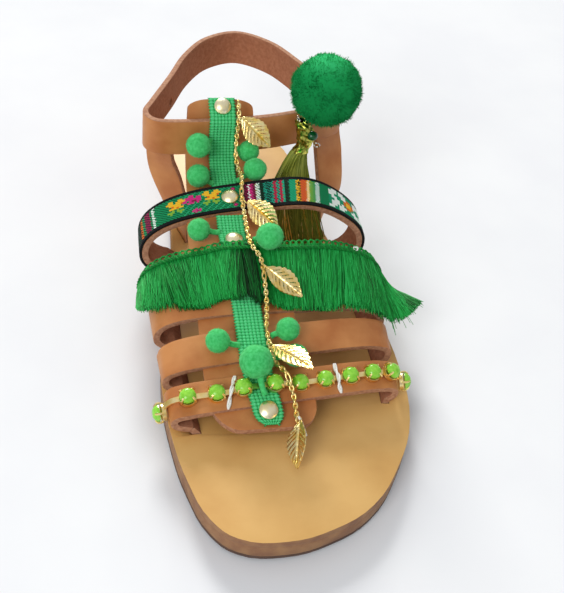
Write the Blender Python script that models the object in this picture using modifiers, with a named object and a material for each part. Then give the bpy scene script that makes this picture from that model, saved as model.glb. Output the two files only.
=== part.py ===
"""Bohemian sandal, left shoe, standing empty on its sole.

Frame: the origin is on the floor under the middle of the sole, the toe points to -Y, the outer (lateral) side
is +X and Z is up. Sizes below are millimetres, and stations are measured along the sole from the tip of the
toe. place() turns a station, a sideways place and a height into metres in that frame.
"""

import math

import bmesh
import bpy
import numpy as np
from mathutils import Matrix, Vector

MM = 0.001

# Sole
SOLE_LENGTH = 246.0
OUTSOLE_TOP = 1.5
MIDSOLE_TOP = 6.0
INSOLE_TOP = 9.0
SEAT_GAP = 0.3
FLAT_ANGLE = math.radians(0.4)
TOE_SPRING = 1.5
TOE_SPRING_START = 46.0
# station, medial edge, lateral edge
OUTLINE = (
    (3.0, -26.4, 4.6),
    (11.0, -34.0, 20.0),
    (27.0, -39.6, 33.5),
    (46.0, -42.9, 43.0),
    (72.0, -44.2, 46.5),
    (105.0, -40.2, 44.6),
    (140.0, -34.2, 37.6),
    (175.0, -31.0, 32.6),
    (205.0, -30.4, 31.4),
    (226.0, -26.6, 27.2),
    (240.0, -15.0, 16.0),
)
TOE_TIP_X = -11.3
HEEL_TIP_X = 0.5

# Upper: the straps are cut from leather of one thickness and lie on one last
LEATHER = 2.4
TONGUE_SINK = 1.6
CURL_FLOOR = INSOLE_TOP + 0.5 + LEATHER
STRAP_FOOT_CUT = MIDSOLE_TOP + SEAT_GAP
BEND_WEIGHT = 7.0
FOOT_LEAN = 0.5
FOOT_END_LEAN = 1.0
# station, medial reach, lateral reach, height of the widest place, top, roundness of the arch, and how far it
# swells on the outer side of its top
LAST = (
    (44.0, -40.8, 36.4, 14.0, 15.8, 2.8, 0.0),
    (56.0, -41.8, 37.6, 14.6, 18.2, 2.8, 0.0),
    (74.0, -42.8, 39.6, 15.5, 23.8, 2.7, 0.0),
    (99.0, -44.2, 41.0, 18.0, 31.2, 2.6, 0.8),
    (136.0, -44.2, 42.0, 21.5, 40.6, 2.2, 4.5),
    (150.0, -43.6, 41.6, 23.0, 44.5, 2.2, 6.0),
)
SWELL_MIDDLE = 0.5
SWELL_WIDTH = 0.45
# station, medial slit, lateral slit
SLITS = (
    (44.0, -32.0, 33.0),
    (74.0, -34.0, 36.0),
    (99.0, -34.0, 36.0),
    (150.0, -30.0, 32.0),
)
# strap, front edge at its medial foot, middle and lateral foot, then its rear edge at the same places
STRAPS = (
    ("toe_strap", 47.0, 50.5, 56.0, 60.5, 62.5, 68.0),
    ("second_strap", 65.5, 68.0, 74.5, 79.0, 80.0, 86.5),
    ("fringe_strap", 88.0, 85.5, 90.0, 116.0, 112.0, 116.0),
    ("woven_strap", 131.0, 130.5, 133.0, 145.0, 143.0, 146.0),
)
# station, middle line of tongue and tape
MIDDLE_LINE = (
    (40.0, -9.3),
    (58.0, -11.6),
    (90.0, -12.5),
    (125.0, -13.4),
    (155.0, -12.2),
    (175.0, -13.2),
)
# station, height of the tongue's face behind the middle of the woven strap
TONGUE_RISE = (
    (143.0, 40.6),
    (149.5, 38.8),
    (155.5, 39.8),
    (160.8, 43.8),
    (164.4, 50.5),
    (166.6, 58.0),
    (168.6, 63.5),
    (170.8, 67.2),
)
TONGUE_TOE = 41.0
TONGUE_WIDTH_TOE = 37.5
TONGUE_WIDTH_TOP = 26.5
TONGUE_CORNER = 9.0
TONGUE_RUN = 150.0
TONGUE_LAST_STATION = 136.0
TONGUE_LEVEL_STATION = 154.0

# Ankle loop: station and sideways place of its outer face, from the medial end of its front round by the heel
ANKLE_LOOP = (
    (-34.0, 163.0),
    (-12.0, 163.8),
    (8.0, 166.6),
    (24.0, 171.0),
    (35.0, 174.5),
    (41.5, 179.0),
    (42.0, 186.0),
    (37.0, 198.0),
    (30.0, 213.0),
    (20.0, 231.0),
    (5.0, 241.0),
    (-11.0, 234.5),
    (-22.5, 219.0),
    (-31.0, 200.0),
    (-40.0, 181.0),
    (-43.8, 172.0),
    (-41.5, 165.5),
)
ANKLE_LOW = 46.0
ANKLE_WIDTH = 15.5
# height, rear edge (sideways, station), front edge (sideways, station) of each side band
MEDIAL_BAND = (
    (57.0, -41.2, 171.0, -31.0, 165.6),
    (42.0, -41.4, 175.0, -31.6, 168.0),
    (30.0, -39.6, 175.5, -27.6, 168.0),
    (17.0, -34.0, 172.5, -24.5, 161.0),
    (10.0, -30.0, 168.5, -25.4, 152.5),
    (4.0, -28.2, 167.0, -25.0, 151.0),
)
LATERAL_BAND = (
    (57.0, 39.6, 181.0, 28.5, 174.6),
    (46.0, 41.6, 180.0, 29.5, 173.0),
    (36.0, 43.6, 178.0, 31.0, 170.6),
    (22.0, 43.0, 170.5, 32.0, 161.0),
    (12.0, 34.0, 167.5, 31.0, 154.0),
    (4.0, 29.5, 167.0, 28.5, 152.0),
)

# Tape down the middle: it lies on the tongue and on the straps, and dives under the woven strap
TAPE_WIDTH = 9.4
TAPE_THICKNESS = 1.2
TAPE_TOE = 41.6
TAPE_FRONT_END = 128.6
# station, height of the tape's back over the last
TAPE_LIFT = (
    (41.0, 1.4),
    (42.8, 1.4),
    (50.2, 3.2),
    (112.4, 3.2),
    (119.8, 1.4),
    (131.0, 2.1),
)
# station, height of the tape's back behind the woven strap, up the front of the ankle loop
TAPE_RISE = (
    (145.2, 40.6),
    (150.0, 39.7),
    (155.3, 40.9),
    (159.4, 44.2),
    (162.1, 50.0),
    (162.9, 56.0),
    (163.0, 61.3),
    (164.8, 64.3),
    (167.0, 66.3),
    (169.4, 68.4),
)

# Woven ribbon on its strap, from one curl to the other
RIBBON_THICKNESS = 0.9
RIBBON_ENDS = (0.10, 0.905)

# Rivets on the middle line: on the tape in front at two stations, on the ribbon, and on the tape's top end
TAPE_RIVETS = (46.8, 116.0)
RIBBON_RIVET = 136.8
RIBBON_RIVET_SHARE = 0.432
TOP_RIVET_SHARE = 0.865
RIVET_RADIUS = 3.4
RIVET_HEIGHT = 2.2
RIVET_GAP = 0.4
SEAT_STEP = 0.03

# Felt balls of the tape: station, sideways place, height, radius, then the same three of the stem's root
POMPOMS = (
    (157.0, -22.7, 54.3, 5.0, 161.2, -17.5, 54.0),
    (157.4, -2.1, 50.9, 4.4, 160.6, -7.1, 50.4),
    (149.8, -23.2, 44.7, 4.7, 149.6, -17.6, 41.2),
    (147.6, -0.8, 48.9, 4.7, 150.0, -6.9, 41.6),
    (119.8, -26.4, 41.1, 4.4, 120.5, -18.6, 39.0),
    (108.6, -1.4, 45.8, 5.2, 112.6, -6.3, 41.2),
    (70.4, -25.2, 30.6, 4.4, 71.0, -17.5, 27.4),
    (72.6, 0.2, 32.3, 4.3, 73.1, -5.6, 28.6),
    (59.7, -13.2, 30.2, 6.0, 50.8, -10.8, 22.7),
    (64.0, 2.0, 27.7, 4.2, 65.4, -5.9, 25.0),
)
STEM_RADIUS = 0.9
STEM_INSIDE = 0.3
# height and spacing of the tufts of a felt ball and of the pom-pom's yarn
FELT_TUFTS = (0.15, 3.0)
YARN_TUFTS = (0.5, 7.0)

# Fringe on its strap: its ends as shares of the strap, length of the threads as a share of the strap's width at
# the two ends, and thickness
FRINGE_ENDS = (0.135, 0.885)
FRINGE_REACH = (0.76, 1.08)
FRINGE_BACK = 0.5
FRINGE_THICKNESS = 1.5
FRINGE_LOCKS = 32
FRINGE_UNEVEN = 0.06
FRINGE_BELLY = 1.2
FRINGE_THINNING = 0.5
FRINGE_RIDGE = 0.35
FRINGE_OVER_TAPE = 0.4
FRINGE_OVER_TAPE_REACH = 0.11
FRINGE_TAPE_RISE = 2.1
# share of the fringe where its threads leave the strap to fan out, and where they are free, at either end
FRINGE_FREE = ((0.16, 0.06), (0.76, 0.88))
# share of the fringe, and the place of its tips there (station, sideways, height)
FRINGE_FAN = (
    (0.00, 98.2, -50.7, 23.0),
    (0.06, 94.8, -49.4, 24.0),
    (0.14, 93.0, -44.4, 26.0),
    (0.80, 85.3, 27.4, 31.2),
    (0.84, 84.8, 33.6, 28.6),
    (0.88, 85.8, 41.0, 23.6),
    (0.92, 87.2, 46.2, 20.6),
    (0.96, 90.2, 52.2, 21.4),
    (1.00, 94.6, 57.4, 23.0),
)

# Cup chain along the toe strap: places of its stones along the strap, from the medial slit
STONES = (16.2, 22.4, 32.2, 41.6, 52.4, 61.9, 71.0, 80.2, 88.3, 94.4, 98.0)
STONE_STATION = 57.0
STONE_RADIUS = 2.9
STONE_HEIGHT = 2.4
CUP_RADIUS = 3.2
CUP_HEIGHT = 1.5
CHAIN_ACROSS = 0.5
CHAIN_STRIP = 1.8
CHAIN_STRIP_THICKNESS = 0.7
CUP_LIFT = 0.1
CHAIN_GAP = 0.4
CHAIN_OVER_TAPE = 2.2
CHAIN_END_RISE = 2.8

# Leaf chain: station, sideways place and height of its middle, from the top rivet to the toe
LEAF_CHAIN = (
    (167.2, -6.2, 69.2),
    (161.0, -6.6, 65.0),
    (158.8, -7.2, 57.5),
    (153.6, -8.0, 51.8),
    (149.0, -7.4, 48.4),
    (142.8, -7.0, 48.4),
    (135.4, -8.0, 46.6),
    (127.4, -8.2, 43.8),
    (117.1, -8.4, 42.6),
    (109.0, -8.4, 42.6),
    (101.6, -5.4, 40.6),
    (89.4, -5.4, 36.6),
    (83.0, -5.8, 33.2),
    (76.0, -6.8, 30.6),
    (71.6, -6.8, 29.4),
    (67.2, -6.8, 28.2),
    (61.4, -5.8, 27.4),
    (56.6, -3.0, 27.0),
    (51.6, -1.4, 23.8),
    (47.6, -0.8, 21.0),
    (42.0, -0.9, 18.8),
)
LEAF_CHAIN_RADIUS = 1.05
LEAF_CHAIN_LINK = 6.0
LEAF_CHAIN_WAIST = 0.8
LEAF_CHAIN_SWELL = 1.15

# Stamped leaves: share of the chain at the root, the root's place off the chain, tip (station, sideways, height),
# direction of the broad side
LEAVES = (
    (0.055, (0.8, -1.15, 1.3), (153.4, 5.6, 55.6), (0.7, 0.35, 0.6)),
    (0.33, (1.7, -1.15, 1.9), (121.3, 4.6, 39.9), (0.71, 0.31, 0.5)),
    (0.515, (0.8, -1.15, 1.3), (87.0, 8.0, 34.4), (0.78, 0.62, 0.1)),
    (0.735, (0.8, -1.15, 1.3), (50.3, 4.1, 35.2), (0.86, 0.51, -0.03)),
    (1.0, (0.8, -1.15, 1.3), (26.4, -3.2, 12.4), (0.5, -0.15, 0.85)),
)
LEAF_HALF_WIDTH = 4.7
LEAF_FULLNESS = 0.95
LEAF_THICKNESS = 0.6
LEAF_STALK = 0.3
LEAF_FOLD = 0.6
LEAF_CUP = 0.5

# Pom-pom and tassel on the outer end of the ankle loop
ANKLE_POMPOM_CENTRE = (165.0, 29.0, 74.7)
ANKLE_POMPOM_RADIUS = 14.4
# station, sideways place, height, sideways radius, fore-and-aft radius of the tassel
TASSEL = (
    (165.6, 20.6, 60.6, 1.6, 1.6),
    (165.4, 21.4, 58.4, 2.9, 2.9),
    (164.4, 23.2, 54.0, 3.6, 3.4),
    (163.4, 22.2, 50.0, 2.6, 2.6),
    (161.6, 19.6, 44.5, 4.2, 3.6),
    (157.8, 18.0, 34.0, 8.0, 4.4),
    (153.6, 19.0, 22.0, 11.2, 4.4),
    (149.6, 20.6, 10.2, 13.2, 4.0),
)
TASSEL_LOCKS = 10
TASSEL_NECK = 0.4
TASSEL_LOCK_DEPTH = 0.3


def smooth(table, column, at):
    """Value of one column of a table at a place in its first column, on a smooth curve through the rows."""
    xs = np.array([row[0] for row in table])
    ys = np.array([row[column] for row in table])
    slopes = np.gradient(ys, xs)
    at = min(max(at, xs[0]), xs[-1])
    i = min(int(np.searchsorted(xs, at, side="right")) - 1, len(xs) - 2)
    step = xs[i + 1] - xs[i]
    t = (at - xs[i]) / step
    a = (1 + 2 * t) * (1 - t) ** 2 * ys[i] + t * (1 - t) ** 2 * step * slopes[i]
    b = t * t * (3 - 2 * t) * ys[i + 1] + t * t * (t - 1) * step * slopes[i + 1]
    return a + b


def along(points, t, closed=False):
    """Point at the share t of a smooth curve through the given points."""
    pts = np.array(points, dtype=float)
    n = len(pts)
    spans = n if closed else n - 1
    at = t * spans
    i = min(int(at), spans - 1)
    f = at - i
    if closed:
        p0, p1, p2, p3 = (pts[(i + k) % n] for k in (-1, 0, 1, 2))
    else:
        p1, p2 = pts[i], pts[i + 1]
        p0 = pts[i - 1] if i else 2 * p1 - p2
        p3 = pts[i + 2] if i + 2 < n else 2 * p2 - p1
    turn = 2 * p0 - 5 * p1 + 4 * p2 - p3
    bend = -p0 + 3 * p1 - 3 * p2 + p3
    return p1 + 0.5 * f * (p2 - p0 + f * (turn + f * bend))


def place(station, x, z):
    return Vector((x, station - SOLE_LENGTH / 2, z)) * MM


def middle_x(station):
    return smooth(MIDDLE_LINE, 1, station)


def last_top(station, x):
    """Height of the last over a place."""
    medial, lateral, widest, top, roundness, swell = (smooth(LAST, c, station) for c in range(1, 7))
    across = 2 * x - medial - lateral
    side = min(abs(across) / (lateral - medial), 1.0)
    bulge = swell * swollen(math.copysign(side ** (roundness / 2), across))
    return widest + (top - widest) * (1 - side**roundness) ** (1 / roundness) + bulge


def swollen(side):
    """Share of the outer swell at a place across the arch, from -1 on the medial side to 1 on the lateral one."""
    return math.exp(-(((side - SWELL_MIDDLE) / SWELL_WIDTH) ** 2)) * (1 - side * side)


def arch(station, samples=120):
    """Section of the last at a station, from the medial slit over the top to the lateral slit, evenly spaced."""
    medial, lateral, widest, top, roundness, swell = (smooth(LAST, c, station) for c in range(1, 7))
    slits = [smooth(SLITS, c, station) for c in (1, 2)]
    centre, reach = (medial + lateral) / 2, (lateral - medial) / 2
    path = []
    for angle in np.linspace(math.pi, 0, 61):
        c, s = math.cos(angle), math.sin(angle)
        x = centre + reach * math.copysign(abs(c) ** (2 / roundness), c)
        path.append((x, widest + (top - widest) * abs(s) ** (2 / roundness) + swell * swollen(c)))
    for slit, side in zip(slits, (medial, lateral)):
        curl = []
        for angle in np.radians((15, 30, 45, 60)):
            x = slit + (side - slit) * math.cos(angle)
            curl.append((x, widest - (widest - CURL_FLOOR) * math.sin(angle)))
        inward = math.copysign(1, slit - side)
        curl.append((slit - FOOT_LEAN * inward, INSOLE_TOP))
        curl.append((slit + FOOT_END_LEAN * inward, MIDSOLE_TOP - LEATHER))
        path = curl[::-1] + path if side == medial else path + curl
    path = np.array(path)
    run = np.concatenate(([0], np.cumsum(np.linalg.norm(np.diff(path, axis=0), axis=1))))
    even = np.linspace(0, run[-1], samples)
    return np.c_[np.interp(even, run, path[:, 0]), np.interp(even, run, path[:, 1])]


def bowed(medial, middle, lateral, u):
    """Value at the share u of a strap that has the given values at its two feet and its middle."""
    return medial * (1 - u) * (1 - 2 * u) + middle * 4 * u * (1 - u) + lateral * u * (2 * u - 1)


def on_strap(strap, u, v, samples=120):
    """Place on the last under a strap: u runs along it from the medial slit, v across it from its front edge."""
    front = bowed(*strap[1:4], u)
    rear = bowed(*strap[4:7], u)
    station = front + (rear - front) * v
    section = arch(station, samples)
    at = u * (samples - 1)
    index = np.arange(samples)
    x, z = np.interp(at, index, section[:, 0]), np.interp(at, index, section[:, 1])
    return place(station, x, z)


def bend_share(station, t, samples=121):
    """Share along a strap for an even share t, drawn together where the strap bends."""
    steps = np.diff(arch(station, samples), axis=0)
    turns = np.abs(np.diff(np.unwrap(np.arctan2(steps[:, 1], steps[:, 0]))))
    cost = np.linalg.norm(steps, axis=1)
    cost[1:] += BEND_WEIGHT * turns
    run = np.concatenate(([0], np.cumsum(cost)))
    return float(np.interp(t * run[-1], run, np.linspace(0, 1, samples)))


def facing(surface, u, v, step=0.01):
    """Unit normal of a surface given by surface(u, v)."""
    low_u, high_u = max(u - step, 0), min(u + step, 1)
    across = surface(high_u, v) - surface(low_u, v)
    up = surface(u, v + step) - surface(u, v - step)
    return across.cross(up).normalized()


def strap_surface(strap, lift):
    """Surface at a height over the last under a strap, where lift may be a number or a function of u and v."""

    def surface(u, v):
        height = lift(u, v) if callable(lift) else lift
        return on_strap(strap, u, v) + height * MM * facing(lambda a, b: on_strap(strap, a, b), u, v)

    return surface


parts = bpy.data.collections.new("bohemian_sandal")
cutters = bpy.data.collections.new("cutters")


def finish(name, rgb, roughness, metallic=0.0):
    material = bpy.data.materials.new(name)
    material.use_nodes = True
    shader = material.node_tree.nodes["Principled BSDF"]
    shader.inputs["Base Color"].default_value = (*rgb, 1)
    shader.inputs["Roughness"].default_value = roughness
    shader.inputs["Metallic"].default_value = metallic
    material.diffuse_color = (*rgb, 1)
    return material


def new_object(name, mesh, material=None):
    """A named object in the sandal's collection, or a helper in the cutters' collection where it has no material."""
    obj = bpy.data.objects.new(name, mesh)
    (parts if material else cutters).objects.link(obj)
    if material:
        mesh.materials.append(material)
    else:
        obj.hide_render = True
        obj.display_type = "WIRE"
    return obj


def bm_object(name, bm, material=None):
    mesh = bpy.data.meshes.new(name)
    bm.to_mesh(mesh)
    bm.free()
    return new_object(name, mesh, material)


def baked(obj, material=None):
    """The object with its modifiers made part of its mesh."""
    bpy.context.view_layer.update()
    graph = bpy.context.evaluated_depsgraph_get()
    mesh = bpy.data.meshes.new_from_object(obj.evaluated_get(graph))
    name, matrix = obj.name, obj.matrix_world.copy()
    bpy.data.objects.remove(obj)
    bm = bmesh.new()
    bm.from_mesh(mesh)
    bmesh.ops.transform(bm, matrix=matrix, verts=bm.verts)
    bmesh.ops.remove_doubles(bm, verts=bm.verts, dist=0.00001)
    bm.to_mesh(mesh)
    bm.free()
    mesh.materials.clear()
    return new_object(name, mesh, material)


def joined(name, pieces, material):
    """One solid made of pieces that overlap."""
    first, rest = pieces[0], pieces[1:]
    for piece in rest:
        union = first.modifiers.new("join", "BOOLEAN")
        union.operation = "UNION"
        union.object = piece
    whole = baked(first, material)
    for piece in rest:
        bpy.data.objects.remove(piece)
    whole.name = name
    return whole


def cut(obj, cutter):
    hole = obj.modifiers.new("cut", "BOOLEAN")
    hole.operation = "DIFFERENCE"
    hole.object = cutter


def sheet(name, surface, long_steps, cross_steps, thickness, offset=1.0, closed=False):
    """A sheet of even thickness on a surface(u, v), as a closed helper mesh."""
    bm = bmesh.new()
    bmesh.ops.create_grid(bm, x_segments=long_steps, y_segments=cross_steps, size=0.5)
    for vert in bm.verts:
        vert.co = surface(vert.co.x + 0.5, vert.co.y + 0.5)
    if closed:
        bmesh.ops.remove_doubles(bm, verts=bm.verts, dist=0.00002)
    obj = bm_object(name, bm)
    wall = obj.modifiers.new("wall", "SOLIDIFY")
    wall.thickness = thickness * MM
    wall.offset = offset
    wall.use_even_offset = True
    return baked(obj)


def show(obj, material, smooth_angle=40):
    """Moves a finished helper to the sandal's collection with its material."""
    cutters.objects.unlink(obj)
    parts.objects.link(obj)
    obj.hide_render = False
    obj.display_type = "TEXTURED"
    obj.data.materials.append(material)
    obj.data.shade_smooth()
    obj.data.set_sharp_from_angle(angle=math.radians(smooth_angle))
    return obj


def cut_level(obj, height):
    """Takes away what lies below a height and closes the cut."""
    bm = bmesh.new()
    bm.from_mesh(obj.data)
    everything = bm.verts[:] + bm.edges[:] + bm.faces[:]
    level = dict(plane_co=(0, 0, height * MM), plane_no=(0, 0, 1), clear_inner=True)
    cut_edges = bmesh.ops.bisect_plane(bm, geom=everything, **level)["geom_cut"]
    edges = [item for item in cut_edges if isinstance(item, bmesh.types.BMEdge)]
    bmesh.ops.holes_fill(bm, edges=edges)
    bmesh.ops.recalc_face_normals(bm, faces=bm.faces)
    bm.to_mesh(obj.data)
    bm.free()


def sole_outline():
    medial = [(row[1], row[0]) for row in OUTLINE]
    lateral = [(row[2], row[0]) for row in OUTLINE]
    return [(TOE_TIP_X, 0.0)] + lateral + [(HEEL_TIP_X, SOLE_LENGTH)] + medial[::-1]


def sole_layer(name, bottom, top, material):
    """A layer of the sole: its outline as a filled curve, then lifted at the toe."""
    curve = bpy.data.curves.new(name, "CURVE")
    curve.dimensions = "2D"
    curve.fill_mode = "BOTH"
    curve.extrude = (top - bottom) / 2 * MM
    curve.resolution_u = 4
    outline = sole_outline()
    spline = curve.splines.new("BEZIER")
    spline.bezier_points.add(len(outline) - 1)
    for point, (x, station) in zip(spline.bezier_points, outline):
        point.co = place(station, x, 0)
        point.handle_left_type = point.handle_right_type = "AUTO"
    spline.use_cyclic_u = True
    obj = bpy.data.objects.new(name, curve)
    obj.location.z = (top + bottom) / 2 * MM
    cutters.objects.link(obj)
    layer = baked(obj)
    bm = bmesh.new()
    bm.from_mesh(layer.data)
    for station in np.arange(6.0, TOE_SPRING_START + 1, 8.0):
        everything = bm.verts[:] + bm.edges[:] + bm.faces[:]
        bmesh.ops.bisect_plane(bm, geom=everything, plane_co=place(station, 0, 0), plane_no=(0, 1, 0))
    for vert in bm.verts:
        ahead = TOE_SPRING_START - (vert.co.y / MM + SOLE_LENGTH / 2)
        if ahead > 0:
            vert.co.z += TOE_SPRING * MM * (ahead / TOE_SPRING_START) ** 2
    bmesh.ops.recalc_face_normals(bm, faces=bm.faces)
    bm.to_mesh(layer.data)
    bm.free()
    return show(layer, material)


def strap_sheet(strap, grow=0.0):
    """The leather of one strap on the last, or the space that it needs where grow is its clearance."""
    wide = list(strap)
    for column in range(1, 7):
        wide[column] += grow if column > 3 else -grow
    thickness = LEATHER + 2 * grow
    offset = 1 - 2 * grow / thickness
    cross_steps = max(1, round((strap[5] - strap[2]) / 13))
    middle = (strap[2] + strap[5]) / 2

    def surface(u, v):
        return on_strap(wide, bend_share(middle, u), v)

    return sheet(strap[0], surface, 40, cross_steps, thickness, offset)


def tongue_path(t):
    """Station and height of the tongue's face, from its toe end to its top end."""
    points = []
    for station in np.linspace(TONGUE_TOE, TONGUE_LAST_STATION, 8):
        points.append((station, last_top(station, middle_x(station)) + LEATHER - TONGUE_SINK))
    return along(points + list(TONGUE_RISE), t)


def tongue_surface(u, v):
    """The tongue's face: round at both ends, and drooping with the last towards its sides."""
    side = math.sin(math.pi * (v - 0.5))
    half = (TONGUE_WIDTH_TOE + (TONGUE_WIDTH_TOP - TONGUE_WIDTH_TOE) * u) / 2
    corner = max(abs(side) * half - (half - TONGUE_CORNER), 0) / TONGUE_CORNER
    inset = TONGUE_CORNER * (1 - math.sqrt(max(1 - corner * corner, 0))) / TONGUE_RUN
    station, height = tongue_path(inset + u * (1 - 2 * inset))
    x = middle_x(station) + side * half
    droop = last_top(station, x) - last_top(station, middle_x(station))
    level = np.interp(station, (TONGUE_LAST_STATION, TONGUE_LEVEL_STATION), (0, 1))
    return place(station, x, height + droop * (1 - level))


def ankle_surface(u, v):
    x, station = along(ANKLE_LOOP, u % 1.0, closed=True)
    return place(station, x, ANKLE_LOW + ANKLE_WIDTH * v)


def band_surface(rows):
    def surface(u, v):
        height, rear_x, rear_station, front_x, front_station = along(rows, u)
        return place(rear_station + (front_station - rear_station) * v, rear_x + (front_x - rear_x) * v, height)

    return surface


def make_upper(material):
    """Every strap is bent from its own strip, and the strips are sewn to one solid where they cross."""
    pieces = [strap_sheet(strap) for strap in STRAPS]
    pieces.append(sheet("tongue", tongue_surface, 30, 6, LEATHER))
    pieces.append(sheet("ankle_loop", ankle_surface, 54, 1, LEATHER, offset=-1.0, closed=True))
    for name, rows in (("medial_band", MEDIAL_BAND), ("lateral_band", LATERAL_BAND)):
        pieces.append(sheet(name, band_surface(rows), 12, 1, LEATHER, offset=0.0))
    upper = joined("upper", pieces, None)
    cut_level(upper, STRAP_FOOT_CUT)
    return show(upper, material)


def make_insole(material):
    insole = sole_layer("insole", MIDSOLE_TOP + SEAT_GAP, INSOLE_TOP, material)
    for strap in STRAPS:
        cut(insole, strap_sheet(strap, SEAT_GAP))
    for name, rows in (("medial_slit", MEDIAL_BAND), ("lateral_slit", LATERAL_BAND)):
        grown = [list(row) for row in rows]
        for row in grown:
            row[2] += SEAT_GAP
            row[4] -= SEAT_GAP
        cut(insole, sheet(name, band_surface(grown), 12, 2, LEATHER + 2 * SEAT_GAP, offset=0.0))
    whole = baked(insole, material)
    bm = bmesh.new()
    bm.from_mesh(whole.data)
    bmesh.ops.dissolve_limit(bm, angle_limit=FLAT_ANGLE, verts=bm.verts, edges=bm.edges)
    bm.to_mesh(whole.data)
    bm.free()
    return whole


def tape_path(back, t):
    """Station and height of the tape's back, in front of the woven strap or behind it."""
    if back:
        return along(TAPE_RISE, t)
    station = TAPE_TOE + (TAPE_FRONT_END - TAPE_TOE) * t
    stations, lifts = zip(*TAPE_LIFT)
    return station, last_top(station, middle_x(station)) + np.interp(station, stations, lifts)


def tape_surface(back):
    def surface(u, v):
        station, height = tape_path(back, u)
        return place(station, middle_x(station) + TAPE_WIDTH * (0.5 - v), height)

    return surface


def ribbon_surface(u, v):
    low, high = RIBBON_ENDS
    return strap_surface(STRAPS[3], LEATHER + SEAT_GAP)(low + (high - low) * u, v)


def fringe_free(u):
    """How far the threads have left the strap at a share of the fringe, from 0 to 1."""
    free = max((u - held) / (loose - held) for held, loose in FRINGE_FREE)
    free = min(max(free, 0), 1)
    return free * free * (3 - 2 * free)


def fringe_surface(outer):
    """Back or outer face of the threads, from the header on the strap's rear edge to their tips."""
    low, high = FRINGE_ENDS

    def surface(u, v):
        at = low + (high - low) * u
        lock = abs(math.sin(math.pi * FRINGE_LOCKS * u))
        length = 1 - FRINGE_UNEVEN * (1 - lock)
        reach = np.interp(u, (0, 1), FRINGE_REACH) * length
        crossing = math.exp(-(((u - FRINGE_OVER_TAPE) / FRINGE_OVER_TAPE_REACH) ** 6))
        belly = FRINGE_BELLY * v * (1 - v)
        if outer:
            belly += FRINGE_THICKNESS * (1 - FRINGE_THINNING * v + FRINGE_RIDGE * lock * v)
        lift = LEATHER + FRINGE_BACK + FRINGE_TAPE_RISE * crossing
        laid = strap_surface(STRAPS[2], lift + belly)(at, 1.0 - reach * v)
        header = strap_surface(STRAPS[2], lift)(at, 1.0)
        tip = place(*(smooth(FRINGE_FAN, column, u) for column in (1, 2, 3)))
        normal = facing(lambda a, b: on_strap(STRAPS[2], a, b), at, 1.0)
        fanned = header + (tip - header) * v * length + belly * MM * normal
        return laid.lerp(fanned, fringe_free(u))

    return surface


def make_fringe(material):
    """The fringe: locks of thread fused to one apron, smooth behind and ridged in front, with uneven tips."""
    bm = bmesh.new()
    for surface in (fringe_surface(False), fringe_surface(True)):
        grid = bmesh.ops.create_grid(bm, x_segments=2 * FRINGE_LOCKS, y_segments=3, size=0.5)
        for vert in grid["verts"]:
            vert.co = surface(vert.co.x + 0.5, vert.co.y + 0.5)
    bmesh.ops.bridge_loops(bm, edges=[edge for edge in bm.edges if edge.is_boundary])
    bmesh.ops.recalc_face_normals(bm, faces=bm.faces)
    if bm.calc_volume(signed=True) < 0:
        bmesh.ops.reverse_faces(bm, faces=bm.faces)
    return show(bm_object("fringe", bm), material, 60)


def turned(normal):
    return Vector((0, 0, 1)).rotation_difference(normal).to_matrix().to_4x4()


def dome(name, radius, height, seat, normal, material, sides=10):
    """A round dome with a flat underside on a seat."""
    bm = bmesh.new()
    bmesh.ops.create_uvsphere(bm, u_segments=sides, v_segments=6, radius=1.0)
    bmesh.ops.delete(bm, geom=[vert for vert in bm.verts if vert.co.z < -0.01], context="VERTS")
    bmesh.ops.holes_fill(bm, edges=[edge for edge in bm.edges if edge.is_boundary])
    size = Matrix.Diagonal((radius * MM, radius * MM, height * MM, 1))
    bmesh.ops.transform(bm, matrix=Matrix.Translation(seat) @ turned(normal) @ size, verts=bm.verts)
    bmesh.ops.recalc_face_normals(bm, faces=bm.faces)
    return show(bm_object(name, bm), material)


def cylinder(name, start, end, radius, sides):
    bm = bmesh.new()
    run = end - start
    frame = Matrix.Translation((start + end) / 2) @ turned(run.normalized())
    size = dict(radius1=radius * MM, radius2=radius * MM, depth=run.length)
    bmesh.ops.create_cone(bm, cap_ends=True, segments=sides, matrix=frame, **size)
    return bm_object(name, bm)


def ball(name, centre, radius, rings, tuft, tufts):
    """A felt or yarn ball whose surface swells in tufts."""
    bm = bmesh.new()
    bmesh.ops.create_uvsphere(bm, u_segments=2 * rings - 2, v_segments=rings, radius=1.0)
    for vert in bm.verts:
        swell = math.sin(tufts * vert.co.x) * math.sin(tufts * vert.co.y + 1) * math.sin(tufts * vert.co.z + 2)
        vert.co = centre + vert.co * (radius + tuft * swell) * MM
    return bm_object(name, bm)


def make_pompoms(material):
    for number, (station, x, z, radius, *root) in enumerate(POMPOMS, 1):
        name = f"pompom_{number:02d}"
        centre, foot = place(station, x, z), place(*root)
        stem = cylinder(name + "_stem", foot, centre + STEM_INSIDE * (foot - centre).normalized() * MM, STEM_RADIUS, 6)
        felt = joined(name, [ball(name, centre, radius, 6, *FELT_TUFTS), stem], None)
        show(felt, material)


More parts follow.
